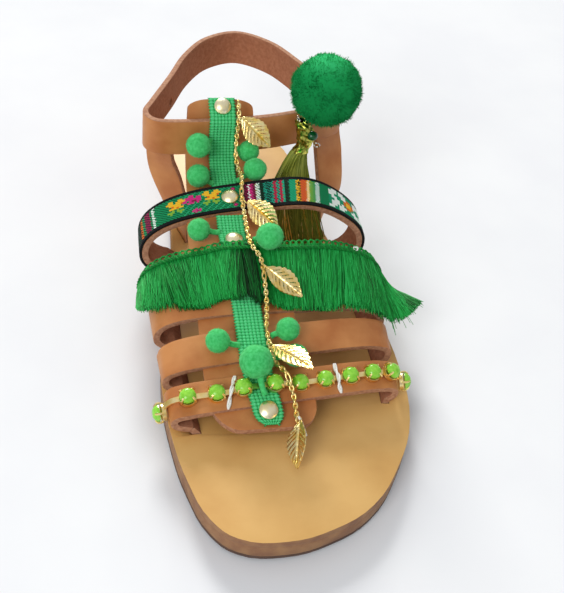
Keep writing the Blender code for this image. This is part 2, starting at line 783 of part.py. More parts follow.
def make_rivets(material):
    front, ribbon, back = tape_surface(False), strap_surface(STRAPS[3], LEATHER + SEAT_GAP), tape_surface(True)
    ribbon_front, ribbon_rear = (bowed(*STRAPS[3][c : c + 3], RIBBON_RIVET_SHARE) for c in (1, 4))
    across = (RIBBON_RIVET - ribbon_front) / (ribbon_rear - ribbon_front)
    seats = [(front, (at - TAPE_TOE) / (TAPE_FRONT_END - TAPE_TOE), 0.5, TAPE_THICKNESS) for at in TAPE_RIVETS]
    seats.append((ribbon, RIBBON_RIVET_SHARE, across, RIBBON_THICKNESS))
    seats.append((back, TOP_RIVET_SHARE, 0.5, TAPE_THICKNESS))
    for number, (surface, u, v, thickness) in enumerate(seats, 1):
        normal = facing(surface, u, v, SEAT_STEP)
        seat = surface(u, v) + (thickness + RIVET_GAP) * MM * normal
        dome(f"rivet_{number:02d}", RIVET_RADIUS, RIVET_HEIGHT, seat, normal, material)


def chain_lift(u, v):
    """Height of the cup chain's back over the last: it rides over the tape."""
    point = on_strap(STRAPS[0], u, v)
    off_tape = point.x / MM - middle_x(point.y / MM + SOLE_LENGTH / 2)
    over_tape = CHAIN_OVER_TAPE * math.exp(-((off_tape / TAPE_WIDTH) ** 6))
    return LEATHER + CHAIN_GAP + over_tape + CHAIN_END_RISE * abs(2 * u - 1) ** 3


def make_stone_chain(gold, stone):
    """Settings soldered to one strip, each with its stone."""
    run = float(np.linalg.norm(np.diff(arch(STONE_STATION), axis=0), axis=1).sum())
    shares = [place_on_strap / run for place_on_strap in STONES]
    across = CHAIN_STRIP / (STRAPS[0][5] - STRAPS[0][2])
    surface = strap_surface(STRAPS[0], chain_lift)

    def strip(u, v):
        return surface(shares[0] + (shares[-1] - shares[0]) * u, CHAIN_ACROSS + across * (v - 0.5))

    pieces = [sheet("stone_strip", strip, 30, 1, CHAIN_STRIP_THICKNESS)]
    for number, share in enumerate(shares, 1):
        normal = facing(surface, share, CHAIN_ACROSS, SEAT_STEP)
        seat = surface(share, CHAIN_ACROSS)
        top = seat + CUP_HEIGHT * MM * normal
        pieces.append(cylinder("cup", seat + CUP_LIFT * MM * normal, top, CUP_RADIUS, 8))
        dome(f"stone_{number:02d}", STONE_RADIUS, STONE_HEIGHT, top + SEAT_GAP * MM * normal, normal, stone, 8)
    show(joined("stone_chain", pieces, None), gold, 30)


def make_leaf_chain(material):
    """The curb chain as one wire that swells at each link."""
    curve = bpy.data.curves.new("leaf_chain", "CURVE")
    curve.dimensions = "3D"
    curve.bevel_depth = LEAF_CHAIN_RADIUS * MM
    curve.bevel_resolution = 1
    curve.use_fill_caps = True
    shares = np.linspace(0, 1, 400)
    route = [along(LEAF_CHAIN, t) for t in shares]
    run = np.concatenate(([0], np.cumsum(np.linalg.norm(np.diff(route, axis=0), axis=1))))
    count = 2 * int(run[-1] / LEAF_CHAIN_LINK) + 1
    spline = curve.splines.new("POLY")
    spline.points.add(count - 1)
    for i, at in enumerate(np.linspace(0, run[-1], count)):
        station, x, z = along(LEAF_CHAIN, float(np.interp(at, run, shares)))
        spline.points[i].co = (*place(station, x, z), 1)
        spline.points[i].radius = LEAF_CHAIN_WAIST if i % 2 else LEAF_CHAIN_SWELL
    obj = bpy.data.objects.new("leaf_chain", curve)
    cutters.objects.link(obj)
    return show(baked(obj), material)


def make_leaves(material):
    """Leaves stamped from sheet: pointed, folded a little along the midrib and cupped along their length."""
    for number, (share, root, tip, broad) in enumerate(LEAVES, 1):
        ring, end = place(*along(LEAF_CHAIN, share)), place(*tip)
        start = ring + Vector(root) * MM
        stem = end - start
        side = Vector(broad)
        side = (side - side.project(stem)).normalized()
        face = stem.normalized().cross(side)

        def surface(u, v):
            half = LEAF_HALF_WIDTH * abs(math.sin(math.pi * u**LEAF_FULLNESS)) + LEAF_STALK
            across = 2 * v - 1
            cup = LEAF_FOLD * abs(across) * half / LEAF_HALF_WIDTH + LEAF_CUP * math.sin(math.pi * u)
            return start + stem * u + (half * across * side + cup * face) * MM

        show(sheet(f"leaf_{number}", surface, 7, 2, LEAF_THICKNESS, offset=0.0), material)


def make_tassel(material):
    """A bound head and neck, then a skirt of threads in locks."""
    rows = [along(TASSEL, t) for t in np.linspace(0, 1, 12)]
    bm = bmesh.new()
    bmesh.ops.create_grid(bm, x_segments=2 * TASSEL_LOCKS, y_segments=len(rows) - 1, size=0.5)
    for vert in bm.verts:
        level = (vert.co.y + 0.5) * (len(rows) - 1)
        station, x, z, wide, deep = rows[round(level)]
        turn = 2 * math.pi * (vert.co.x + 0.5)
        skirt = max(level / (len(rows) - 1) - TASSEL_NECK, 0)
        lock = 1 + TASSEL_LOCK_DEPTH * skirt * math.cos(TASSEL_LOCKS * turn)
        vert.co = place(station + deep * lock * math.sin(turn), x + wide * lock * math.cos(turn), z)
    bmesh.ops.remove_doubles(bm, verts=bm.verts, dist=0.00002)
    bmesh.ops.holes_fill(bm, edges=[edge for edge in bm.edges if edge.is_boundary])
    bmesh.ops.recalc_face_normals(bm, faces=bm.faces)
    return show(bm_object("tassel", bm), material, 60)


def build():
    for obj in list(bpy.data.objects):
        bpy.data.objects.remove(obj)
    for collection in (parts, cutters):
        bpy.context.scene.collection.children.link(collection)
    rubber = finish("dark_rubber", (0.035, 0.034, 0.033), 0.8)
    edge = finish("brown_sole_edge", (0.23, 0.115, 0.075), 0.65)
    footbed = finish("tan_footbed_leather", (0.57, 0.35, 0.16), 0.5)
    leather = finish("tan_strap_leather", (0.42, 0.19, 0.085), 0.45)
    tape = finish("green_woven_tape", (0.01, 0.30, 0.09), 0.9)
    felt = finish("green_felt", (0.01, 0.27, 0.08), 0.95)
    ribbon = finish("patterned_ribbon", (0.01, 0.15, 0.07), 0.85)
    thread = finish("green_silk_thread", (0.005, 0.19, 0.05), 0.55)
    olive = finish("olive_silk_thread", (0.10, 0.14, 0.02), 0.5)
    gold = finish("gold_plate", (0.85, 0.58, 0.16), 0.25, 1.0)
    lime = finish("lime_stone", (0.25, 0.75, 0.05), 0.35)
    sole_layer("outsole", 0.0, OUTSOLE_TOP, rubber)
    sole_layer("midsole", OUTSOLE_TOP + SEAT_GAP, MIDSOLE_TOP, edge)
    make_insole(footbed)
    make_upper(leather)
    for name, back, steps in (("tape_front", False, 26), ("tape_back", True, 18)):
        show(sheet(name, tape_surface(back), steps, 1, TAPE_THICKNESS), tape)
    make_pompoms(felt)
    make_rivets(gold)
    show(sheet("woven_ribbon", ribbon_surface, 36, 1, RIBBON_THICKNESS), ribbon)
    make_fringe(thread)
    make_stone_chain(gold, lime)
    make_leaf_chain(gold)
    make_leaves(gold)
    centre = place(*ANKLE_POMPOM_CENTRE)
    show(ball("ankle_pompom", centre, ANKLE_POMPOM_RADIUS, 13, *YARN_TUFTS), felt)
    make_tassel(olive)


build()
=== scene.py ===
"""Bohemian sandal, left shoe: the dressed model and its studio picture.

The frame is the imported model's, in metres: the floor at Z 0, the toe towards -Y and the outer side
towards +X. Sizes are written in millimetres, and stations are measured along the sole from the tip
of the toe.
"""

import math

import bpy
import numpy as np
from mathutils import Matrix, Vector, noise


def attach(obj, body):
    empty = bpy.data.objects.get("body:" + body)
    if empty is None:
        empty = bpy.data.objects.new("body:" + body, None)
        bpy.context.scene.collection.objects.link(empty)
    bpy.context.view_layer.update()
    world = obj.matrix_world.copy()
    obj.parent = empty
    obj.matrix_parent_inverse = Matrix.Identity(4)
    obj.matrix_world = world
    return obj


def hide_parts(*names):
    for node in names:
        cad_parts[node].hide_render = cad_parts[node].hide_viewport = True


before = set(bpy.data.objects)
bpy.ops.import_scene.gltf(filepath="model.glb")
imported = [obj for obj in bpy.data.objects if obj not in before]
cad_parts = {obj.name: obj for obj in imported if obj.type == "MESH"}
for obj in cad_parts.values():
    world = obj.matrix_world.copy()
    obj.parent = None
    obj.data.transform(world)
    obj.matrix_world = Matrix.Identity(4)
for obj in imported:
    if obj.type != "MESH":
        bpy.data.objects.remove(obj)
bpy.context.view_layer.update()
bpy.ops.object.select_all(action="DESELECT")


# Outsole: a thin sheet of dark brown rubber, die-cut to the outline of the sole.
# It is glued under the midsole, and shows from the side as a thin dark line.
MM = 0.001
MERGE = 0.01
FLAT_ANGLE = 0.5
SMOOTH_ANGLE = 40
PATCH_RAMP = (0.35, 0.65)
OUTSOLE_EDGE = 0.25
RUBBER_GRIT = 0.6


def linear(code):
    """Linear colour of an sRGB hex value."""
    shares = [int(code[i : i + 2], 16) / 255 for i in (1, 3, 5)]
    return (*[c / 12.92 if c <= 0.04045 else ((c + 0.055) / 1.055) ** 2.4 for c in shares], 1)


def add(tree, kind, values=None, links=None, **settings):
    """A node with its settings, the constants of its sockets and the sockets that feed it."""
    node = tree.nodes.new("ShaderNode" + kind)
    for key, value in settings.items():
        setattr(node, key, value)
    for key, value in (values or {}).items():
        node.inputs[key].default_value = value
    for key, source in (links or {}).items():
        tree.links.new(source, node.inputs[key])
    return node


def new_material(name, **values):
    """A material named for the real one, with the constants of its shader."""
    material = bpy.data.materials.new(name)
    material.use_nodes = True
    shader = material.node_tree.nodes["Principled BSDF"]
    for key, value in values.items():
        shader.inputs[key.replace("_", " ").title().replace("Ior", "IOR")].default_value = value
    return material


def feed(tree, socket, source):
    """Links what feeds a socket of the material's shader."""
    tree.links.new(source, tree.nodes["Principled BSDF"].inputs[socket])


def set_stops(ramp, stops):
    """Gives a colour ramp its stops, each a place and a colour."""
    elements = ramp.color_ramp.elements
    for i, (at, code) in enumerate(stops):
        element = elements[i] if i < 2 else elements.new(at)
        element.position = at
        element.color = linear(code)


def mottled(material, colours, patch, detail=4.0):
    """Colours the material with soft patches of the given width, from the first colour to the second."""
    tree = material.node_tree
    coords = add(tree, "TexCoord")
    size = {"Scale": 1 / (patch * MM), "Detail": detail}
    spots = add(tree, "TexNoise", size, {"Vector": coords.outputs["Object"]})
    ramp = add(tree, "ValToRGB", links={"Fac": spots.outputs["Fac"]})
    set_stops(ramp, zip(PATCH_RAMP, colours))
    feed(tree, "Base Color", ramp.outputs["Color"])


def grained(material, width, depth, detail=3.0):
    """Roughens the material with a bump of the given grain width and depth."""
    tree = material.node_tree
    coords = add(tree, "TexCoord")
    size = {"Scale": 1 / (width * MM), "Detail": detail}
    grain = add(tree, "TexNoise", size, {"Vector": coords.outputs["Object"]})
    bump = add(tree, "Bump", {"Strength": 1.0, "Distance": depth * MM}, {"Height": grain.outputs["Fac"]})
    feed(tree, "Normal", bump.outputs["Normal"])


def linked(name, data):
    """An object of its own in the scene, made from a mesh, a lamp or a camera."""
    thing = bpy.data.objects.new(name, data)
    bpy.context.scene.collection.objects.link(thing)
    return thing


def chosen(piece):
    """Selects one piece alone and makes it the active one."""
    bpy.ops.object.select_all(action="DESELECT")
    bpy.context.view_layer.objects.active = piece
    piece.select_set(True)


def enter(piece):
    """Opens a piece in edit mode with all of it selected."""
    chosen(piece)
    bpy.ops.object.mode_set(mode="EDIT")
    bpy.ops.mesh.select_all(action="SELECT")


def leave():
    bpy.ops.object.mode_set(mode="OBJECT")
    bpy.ops.object.select_all(action="DESELECT")


def merged_copy(node, name):
    """A copy of a CAD node as a piece of its own, with its loose triangles merged."""
    piece = linked(name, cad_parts[node].data.copy())
    piece.data.materials.clear()
    enter(piece)
    bpy.ops.mesh.remove_doubles(threshold=MERGE * MM)
    bpy.ops.mesh.dissolve_limited(angle_limit=math.radians(FLAT_ANGLE))
    leave()
    return piece


def modified(piece, kind, **settings):
    """Adds a modifier to a piece and applies it."""
    modifier = piece.modifiers.new(kind.lower(), kind)
    for key, value in settings.items():
        setattr(modifier, key, value)
    chosen(piece)
    bpy.ops.object.modifier_apply(modifier=modifier.name)
    piece.select_set(False)


def smooth_shaded(piece, angle=SMOOTH_ANGLE):
    chosen(piece)
    bpy.ops.object.shade_smooth_by_angle(angle=math.radians(angle))
    piece.select_set(False)


def fitted(piece, slot, *nodes):
    """Fixes a finished piece to the shoe, in place of the CAD nodes that it dresses."""
    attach(piece, "root")
    if nodes:
        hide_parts(*nodes)


def dressed(piece, material, slot, *nodes, angle=SMOOTH_ANGLE):
    """Gives a piece its one material, shades it smooth up to an angle, and fixes it to the shoe."""
    piece.data.materials.clear()
    piece.data.materials.append(material)
    smooth_shaded(piece, angle)
    fitted(piece, slot, *nodes)


# Moulded rubber: dark brown and dull, with a fine moulding grit
rubber = new_material("moulded_rubber", roughness=0.75)
mottled(rubber, ("#4E382E", "#5E463A"), 4.0)
grained(rubber, RUBBER_GRIT, 0.05)

outsole = merged_copy("outsole", "rubber_outsole")
modified(outsole, "BEVEL", width=OUTSOLE_EDGE * MM, segments=2, limit_method="ANGLE")
dressed(outsole, rubber, "outsole_rubber", "outsole")


# Midsole: leather board cut to the same outline, with its edge sanded, stained brown and burnished.
# It is glued between outsole and insole, whose edge is stained with it.
SOLE_EDGE_BEVEL = 0.12
GLUE_LINE = 0.3
SANDING_WIDTH = 0.5
SANDING_DEPTH = 0.08
SANDING_STRETCH = (0.25, 0.25, 1.6)

# Stained leather board: brown and a little dusty, with sanding marks that run round the edge
sole_edge = new_material("stained_leather_board_edge", roughness=0.6, specular_ior_level=0.35)
mottled(sole_edge, ("#896044", "#A17852"), 5.0, 8.0)
tree = sole_edge.node_tree
coords = add(tree, "TexCoord")
stretch = add(tree, "Mapping", {"Scale": SANDING_STRETCH}, {"Vector": coords.outputs["Object"]})
marks = {"Scale": 1 / (SANDING_WIDTH * MM), "Detail": 4.0}
sanding = add(tree, "TexNoise", marks, {"Vector": stretch.outputs["Vector"]})
bump = add(tree, "Bump", {"Distance": SANDING_DEPTH * MM}, {"Height": sanding.outputs["Fac"]})
feed(tree, "Normal", bump.outputs["Normal"])

midsole = merged_copy("midsole", "leather_board_midsole")
for vert in midsole.data.vertices:
    vert.co.z += math.copysign(GLUE_LINE * MM, vert.normal.z)
modified(midsole, "BEVEL", width=SOLE_EDGE_BEVEL * MM, segments=2, limit_method="ANGLE")
dressed(midsole, sole_edge, "sole_edge", "midsole")


# Insole: a footbed of smooth vegetable-tanned leather with slits for the straps.
# It is glued on the midsole after the ends of the straps are drawn through it.
FOOTBED_BEVEL = 0.35
FOOTBED_GRAIN = 0.9
FOOTBED_LEVEL = 0.75
CORNER = math.radians(50)

# Vegetable-tanned leather: honey coloured, satin, with cloudy tanning and a very fine grain
footbed = new_material("vegetable_tanned_footbed", roughness=0.48, specular_ior_level=0.4)
mottled(footbed, ("#CD9D58", "#DDB16C"), 28.0, 6.0)
grained(footbed, FOOTBED_GRAIN, 0.02)

insole = merged_copy("insole", "leather_insole")
insole.data.materials.append(footbed)
insole.data.materials.append(sole_edge)
modified(insole, "BEVEL", width=FOOTBED_BEVEL * MM, segments=2, limit_method="ANGLE", angle_limit=CORNER)
for face in insole.data.polygons:
    face.material_index = 0 if face.normal.z > FOOTBED_LEVEL else 1
smooth_shaded(insole)
fitted(insole, "footbed_leather", "insole")


# Upper: four straps over the foot, a tongue up the middle, the ankle loop and a band on either side of it.
# Each is cut from tan leather with raw edges, bent over the last, and they are sewn where they cross.
SOLE_LENGTH = 246.0
MIDSOLE_TOP = 6.0
INSOLE_TOP = 9.0
LEATHER = 2.4
STRAP_FOOT = 6.3
CURL_FLOOR = 11.9
STRAP_EDGE = 0.4
SECTION_SAMPLES = 200
ARCH_SAMPLES = 121
# angles of the curl from the widest place of the last down to the slit
CURL_ANGLES = np.radians(np.arange(5, 75, 5))
SLIT_BULGE = 0.5
SLIT_TUCK = 1.0
FIRST_STATION = 40.0
SECTION_STEP = 0.5
SECTION_COUNT = 226
BEND_WEIGHT = 7.0
LEATHER_GRAIN = 0.7
# steps along and across each kind of strap
STRAP_STEPS = (140, 8)
TONGUE_STEPS = (120, 24)
ANKLE_STEPS = (200, 6)
BAND_STEPS = (60, 8)
LEAST_CREASE = 0.005
# station, medial reach, lateral reach, height of the widest place, top, roundness and outer swell of the last
LAST = (
    (44.0, -40.8, 36.4, 14.0, 15.8, 2.8, 0.0),
    (56.0, -41.8, 37.6, 14.6, 18.2, 2.8, 0.0),
    (74.0, -42.8, 39.6, 15.5, 23.8, 2.7, 0.0),
    (99.0, -44.2, 41.0, 18.0, 31.2, 2.6, 0.8),
    (136.0, -44.2, 42.0, 21.5, 40.6, 2.2, 4.5),
    (150.0, -43.6, 41.6, 23.0, 44.5, 2.2, 6.0),
)
SWELL_MIDDLE = 0.5
SWELL_WIDTH = 0.45
# station, medial slit, lateral slit
SLITS = (
    (44.0, -32.0, 33.0),
    (74.0, -34.0, 36.0),
    (99.0, -34.0, 36.0),
    (150.0, -30.0, 32.0),
)
# front edge at the medial foot, middle and lateral foot, then the rear edge at the same places
STRAPS = {
    "toe_strap": (47.0, 50.5, 56.0, 60.5, 62.5, 68.0),
    "second_strap": (65.5, 68.0, 74.5, 79.0, 80.0, 86.5),
    "fringe_strap": (88.0, 85.5, 90.0, 116.0, 112.0, 116.0),
    "woven_strap": (131.0, 130.5, 133.0, 145.0, 143.0, 146.0),
}
# strap, share along it, slant, depth and width of a bend crease in its leather
CREASES = (
    ("toe_strap", 0.155, 0.012, 0.22, 0.010),
    ("toe_strap", 0.190, -0.010, 0.15, 0.012),
    ("toe_strap", 0.845, 0.010, 0.20, 0.011),
    ("second_strap", 0.150, 0.012, 0.22, 0.010),
    ("second_strap", 0.182, -0.008, 0.15, 0.013),
    ("second_strap", 0.850, 0.012, 0.22, 0.011),
    ("second_strap", 0.812, -0.012, 0.14, 0.012),
    ("fringe_strap", 0.860, 0.010, 0.20, 0.012),
    ("woven_strap", 0.120, 0.010, 0.20, 0.012),
)
# station, middle line of tongue and tape
MIDDLE_LINE = ((40.0, -9.3), (58.0, -11.6), (90.0, -12.5), (125.0, -13.4), (155.0, -12.2), (175.0, -13.2))
# station, height of the tongue's face behind the woven strap
TONGUE_RISE = (
    (143.0, 40.6),
    (149.5, 38.8),
    (155.5, 39.8),
    (160.8, 43.8),
    (164.4, 50.5),
    (166.6, 58.0),
    (168.6, 63.5),
    (170.8, 67.2),
)
TONGUE_TOE = 41.0
TONGUE_WIDTHS = (37.5, 26.5)
TONGUE_CORNER = 9.0
TONGUE_RUN = 150.0
TONGUE_SINK = 1.6
TONGUE_LAST_STATION = 136.0
TONGUE_LEVEL_STATION = 154.0
TONGUE_SAMPLES = 8
# sideways place and station of the ankle loop's outer face
ANKLE_LOOP = (
    (-34.0, 163.0),
    (-12.0, 163.8),
    (8.0, 166.6),
    (24.0, 171.0),
    (35.0, 174.5),
    (41.5, 179.0),
    (42.0, 186.0),
    (37.0, 198.0),
    (30.0, 213.0),
    (20.0, 231.0),
    (5.0, 241.0),
    (-11.0, 234.5),
    (-22.5, 219.0),
    (-31.0, 200.0),
    (-40.0, 181.0),
    (-43.8, 172.0),
    (-41.5, 165.5),
)
ANKLE_LOW = 46.0
# share along the loop and height on it of the punched hole at its inner end, blind in the leather
HOLE_PLACE = (0.77, 0.25)
HOLE_RADIUS = 1.6
HOLE_DEPTH = 1.4
ANKLE_WIDTH = 15.5
# height, rear edge (sideways, station) and front edge (sideways, station) of each side band
BANDS = {
    "medial_band": (
        (57.0, -41.2, 171.0, -31.0, 165.6),
        (42.0, -41.4, 175.0, -31.6, 168.0),
        (30.0, -39.6, 175.5, -27.6, 168.0),
        (17.0, -34.0, 172.5, -24.5, 161.0),
        (10.0, -30.0, 168.5, -25.4, 152.5),
        (4.0, -28.2, 167.0, -25.0, 151.0),
    ),
    "lateral_band": (
        (57.0, 39.6, 181.0, 28.5, 174.6),
        (46.0, 41.6, 180.0, 29.5, 173.0),
        (36.0, 43.6, 178.0, 31.0, 170.6),
        (22.0, 43.0, 170.5, 32.0, 161.0),
        (12.0, 34.0, 167.5, 31.0, 154.0),
        (4.0, 29.5, 167.0, 28.5, 152.0),
    ),
}


def place(station, x, z):
    return Vector((x, station - SOLE_LENGTH / 2, z)) * MM


def smooth(table, column, at):
    """Value of one column of a table at a place in its first column, on a smooth curve through the rows."""
    xs = np.array([row[0] for row in table])
    ys = np.array([row[column] for row in table])
    slopes = np.gradient(ys, xs)
    at = min(max(at, xs[0]), xs[-1])
    i = min(int(np.searchsorted(xs, at, side="right")) - 1, len(xs) - 2)
    step = xs[i + 1] - xs[i]
    t = (at - xs[i]) / step
    a = (1 + 2 * t) * (1 - t) ** 2 * ys[i] + t * (1 - t) ** 2 * step * slopes[i]
    b = t * t * (3 - 2 * t) * ys[i + 1] + t * t * (t - 1) * step * slopes[i + 1]
    return float(a + b)


def along(points, t, closed=False):
    """Point at the share t of a smooth curve through the given points."""
    pts = np.array(points, dtype=float)
    n = len(pts)
    spans = n if closed else n - 1
    at = t * spans
    i = min(int(at), spans - 1)
    f = at - i
    if closed:
        p0, p1, p2, p3 = (pts[(i + k) % n] for k in (-1, 0, 1, 2))
    else:
        p1, p2 = pts[i], pts[i + 1]
        p0 = pts[i - 1] if i else 2 * p1 - p2
        p3 = pts[i + 2] if i + 2 < n else 2 * p2 - p1
    turn = 2 * p0 - 5 * p1 + 4 * p2 - p3
    bend = -p0 + 3 * p1 - 3 * p2 + p3
    return p1 + 0.5 * f * (p2 - p0 + f * (turn + f * bend))


def running(points):
    """Length along a row of points, up to each of them."""
    return np.concatenate(([0], np.cumsum(np.linalg.norm(np.diff(points, axis=0), axis=1))))


def middle_x(station):
    return smooth(MIDDLE_LINE, 1, station)


def swollen(side):
    """Share of the outer swell at a place across the last, from -1 on the inner side to 1 on the outer."""
    return math.exp(-(((side - SWELL_MIDDLE) / SWELL_WIDTH) ** 2)) * (1 - side * side)


def last_top(station, x):
    """Height of the last over a place."""
    medial, lateral, widest, top, roundness, swell = (smooth(LAST, c, station) for c in range(1, 7))
    across = 2 * x - medial - lateral
    side = min(abs(across) / (lateral - medial), 1.0)
    bulge = swell * swollen(math.copysign(side ** (roundness / 2), across))
    return widest + (top - widest) * (1 - side**roundness) ** (1 / roundness) + bulge


def arch(station):
    """Evenly spaced section of the last at a station, from the medial slit over to the lateral one."""
    medial, lateral, widest, top, roundness, swell = (smooth(LAST, c, station) for c in range(1, 7))
    centre, reach = (medial + lateral) / 2, (lateral - medial) / 2
    path = []
    for angle in np.linspace(math.pi, 0, ARCH_SAMPLES):
        c, s = math.cos(angle), math.sin(angle)
        x = centre + reach * math.copysign(abs(c) ** (2 / roundness), c)
        path.append((x, widest + (top - widest) * abs(s) ** (2 / roundness) + swell * swollen(c)))
    for column, side in ((1, medial), (2, lateral)):
        slit = smooth(SLITS, column, station)
        inward = math.copysign(1, slit - side)
        curl = []
        for angle in CURL_ANGLES:
            x = slit + (side - slit) * math.cos(angle)
            curl.append((x, widest - (widest - CURL_FLOOR) * math.sin(angle)))
        curl.append((slit - SLIT_BULGE * inward, INSOLE_TOP))
        curl.append((slit + SLIT_TUCK * inward, MIDSOLE_TOP - LEATHER))
        path = curl[::-1] + path if side == medial else path + curl
    path = np.array(path)
    run = running(path)
    even = np.linspace(0, run[-1], SECTION_SAMPLES)
    return np.c_[np.interp(even, run, path[:, 0]), np.interp(even, run, path[:, 1])]


SECTIONS = np.array([arch(FIRST_STATION + SECTION_STEP * i) for i in range(SECTION_COUNT)])


def on_last(station, u):
    """Place on the last at a station, at the share u of the way from the medial slit to the lateral one."""
    row = min(max((station - FIRST_STATION) / SECTION_STEP, 0), len(SECTIONS) - 1.001)
    column = min(max(u, 0), 1) * (SECTION_SAMPLES - 1.001)
    i, j = int(row), int(column)
    f, g = row - i, column - j
    near = SECTIONS[i, j] * (1 - g) + SECTIONS[i, j + 1] * g
    far = SECTIONS[i + 1, j] * (1 - g) + SECTIONS[i + 1, j + 1] * g
    x, z = near * (1 - f) + far * f
    return place(station, float(x), float(z))


def bowed(medial, middle, lateral, u):
    """Value at the share u of a strap that has the given values at its two feet and its middle."""
    return medial * (1 - u) * (1 - 2 * u) + middle * 4 * u * (1 - u) + lateral * u * (2 * u - 1)


def on_strap(strap, u, v):
    """Place on the last under a strap: u along it from the medial slit, v across it from its front edge."""
    edges = STRAPS[strap]
    front, rear = bowed(*edges[:3], u), bowed(*edges[3:], u)
    return on_last(front + (rear - front) * v, u)


def facing(surface, u, v, step=0.01):
    """Unit normal of a surface given by surface(u, v)."""
    across = surface(min(u + step, 1), v) - surface(max(u - step, 0), v)
    up = surface(u, v + step) - surface(u, v - step)
    return across.cross(up).normalized()


def strap_surface(strap, lift):
    """Surface at a height over the last under a strap: lift is a number or a function of u and v."""

    def surface(u, v):
        height = float(lift(u, v) if callable(lift) else lift)
        return on_strap(strap, u, v) + height * MM * facing(lambda a, b: on_strap(strap, a, b), u, v)

    return surface


def bend_share(station, t):
    """Share along a strap for an even share t, drawn together where the strap bends."""
    steps = np.diff(arch(station), axis=0)
    turns = np.abs(np.diff(np.unwrap(np.arctan2(steps[:, 1], steps[:, 0]))))
    cost = np.linalg.norm(steps, axis=1)
    cost[1:] += BEND_WEIGHT * turns
    run = np.concatenate(([0], np.cumsum(cost)))
    return np.interp(np.asarray(t) * run[-1], run, np.linspace(0, 1, SECTION_SAMPLES))


def strip(name, surface, long_steps, cross_steps):
    """A flat strip laid on a surface(u, v), whose UV map keeps u and v."""
    bpy.ops.mesh.primitive_grid_add(x_subdivisions=long_steps, y_subdivisions=cross_steps, size=1)
    piece = bpy.context.object
    piece.name = piece.data.name = name
    for vert in piece.data.vertices:
        vert.co = surface(vert.co.x + 0.5, vert.co.y + 0.5)
    return piece


def crease_depth(strap, u, v):
    """Depth of the bend creases at a place of a strap."""
    depth = 0.0
    for name, at, slant, deep, wide in CREASES:
        if name == strap:
            depth += deep * math.exp(-(((u - at - slant * (v - 0.5)) / wide) ** 2))
    return depth


# Full-grain leather, tan: satin with a fine pore grain, lighter where it is handled
strap_leather = new_material("tan_full_grain_leather", roughness=0.45, specular_ior_level=0.32)
mottled(strap_leather, ("#B06C39", "#C7874F"), 14.0, 6.0)
grained(strap_leather, LEATHER_GRAIN, 0.05)
# Flesh side: the same hide unfinished, dull and a little darker, with a soft nap
flesh_side = new_material("suede_flesh_side", roughness=0.9, specular_ior_level=0.2)
mottled(flesh_side, ("#9A654A", "#AB7457"), 1.4, 6.0)
grained(flesh_side, 0.5, 0.12)
# Raw cut edge: pinkish brown and fibrous
cut_edge = new_material("raw_cut_edge", roughness=0.85, specular_ior_level=0.25)
mottled(cut_edge, ("#A07056", "#BC8E70"), 1.2, 6.0)
grained(cut_edge, 0.4, 0.06)


def leather_strip(piece, offset, flesh_first=False):
    """Gives a strip its wall, its raw edges and its leather, and sews it to the shoe."""
    faces = (flesh_side, strap_leather) if flesh_first else (strap_leather, flesh_side)
    for material in (*faces, cut_edge):
        piece.data.materials.append(material)
    wall = dict(thickness=LEATHER * MM, offset=offset, use_even_offset=True)
    modified(piece, "SOLIDIFY", material_offset=1, material_offset_rim=2, **wall)
    modified(piece, "BEVEL", width=STRAP_EDGE * MM, segments=3, limit_method="ANGLE", angle_limit=CORNER)
    enter(piece)
    bpy.ops.mesh.bisect(plane_co=(0, 0, STRAP_FOOT * MM), plane_no=(0, 0, 1), use_fill=True, clear_inner=True)
    leave()
    smooth_shaded(piece)
    fitted(piece, "strap_leather", "upper")


even = np.linspace(0, 1, STRAP_STEPS[0] + 1)
for strap in STRAPS:
    shares = bend_share(STRAPS[strap][1], even)

    def surface(u, v):
        at = float(np.interp(u, even, shares))
        point = on_strap(strap, at, v)
        depth = crease_depth(strap, at, v)
        if depth > LEAST_CREASE:
            point -= depth * MM * facing(lambda a, b: on_strap(strap, a, b), at, v)
        return point

    leather_strip(strip("leather_" + strap, surface, *STRAP_STEPS), 1.0)


def tongue_surface(u, v):
    """The tongue's face: round at both ends, and drooping with the last towards its sides."""
    side = math.sin(math.pi * (v - 0.5))
    half = (TONGUE_WIDTHS[0] + (TONGUE_WIDTHS[1] - TONGUE_WIDTHS[0]) * u) / 2
    corner = max(abs(side) * half - (half - TONGUE_CORNER), 0) / TONGUE_CORNER
    inset = TONGUE_CORNER * (1 - math.sqrt(max(1 - corner * corner, 0))) / TONGUE_RUN
    station, height = along(TONGUE_PATH, inset + u * (1 - 2 * inset))
    x = middle_x(station) + side * half
    droop = last_top(station, x) - last_top(station, middle_x(station))
    level = np.interp(station, (TONGUE_LAST_STATION, TONGUE_LEVEL_STATION), (0, 1))
    return place(station, x, height + droop * (1 - level))


def ankle_surface(u, v):
    x, station = along(ANKLE_LOOP, u % 1.0, closed=True)
    return place(station, x, ANKLE_LOW + ANKLE_WIDTH * v)


def band_surface(rows):
    def surface(u, v):
        height, rear_x, rear_station, front_x, front_station = along(rows, u)
        x = rear_x + (front_x - rear_x) * v
        return place(rear_station + (front_station - rear_station) * v, x, height)

    return surface


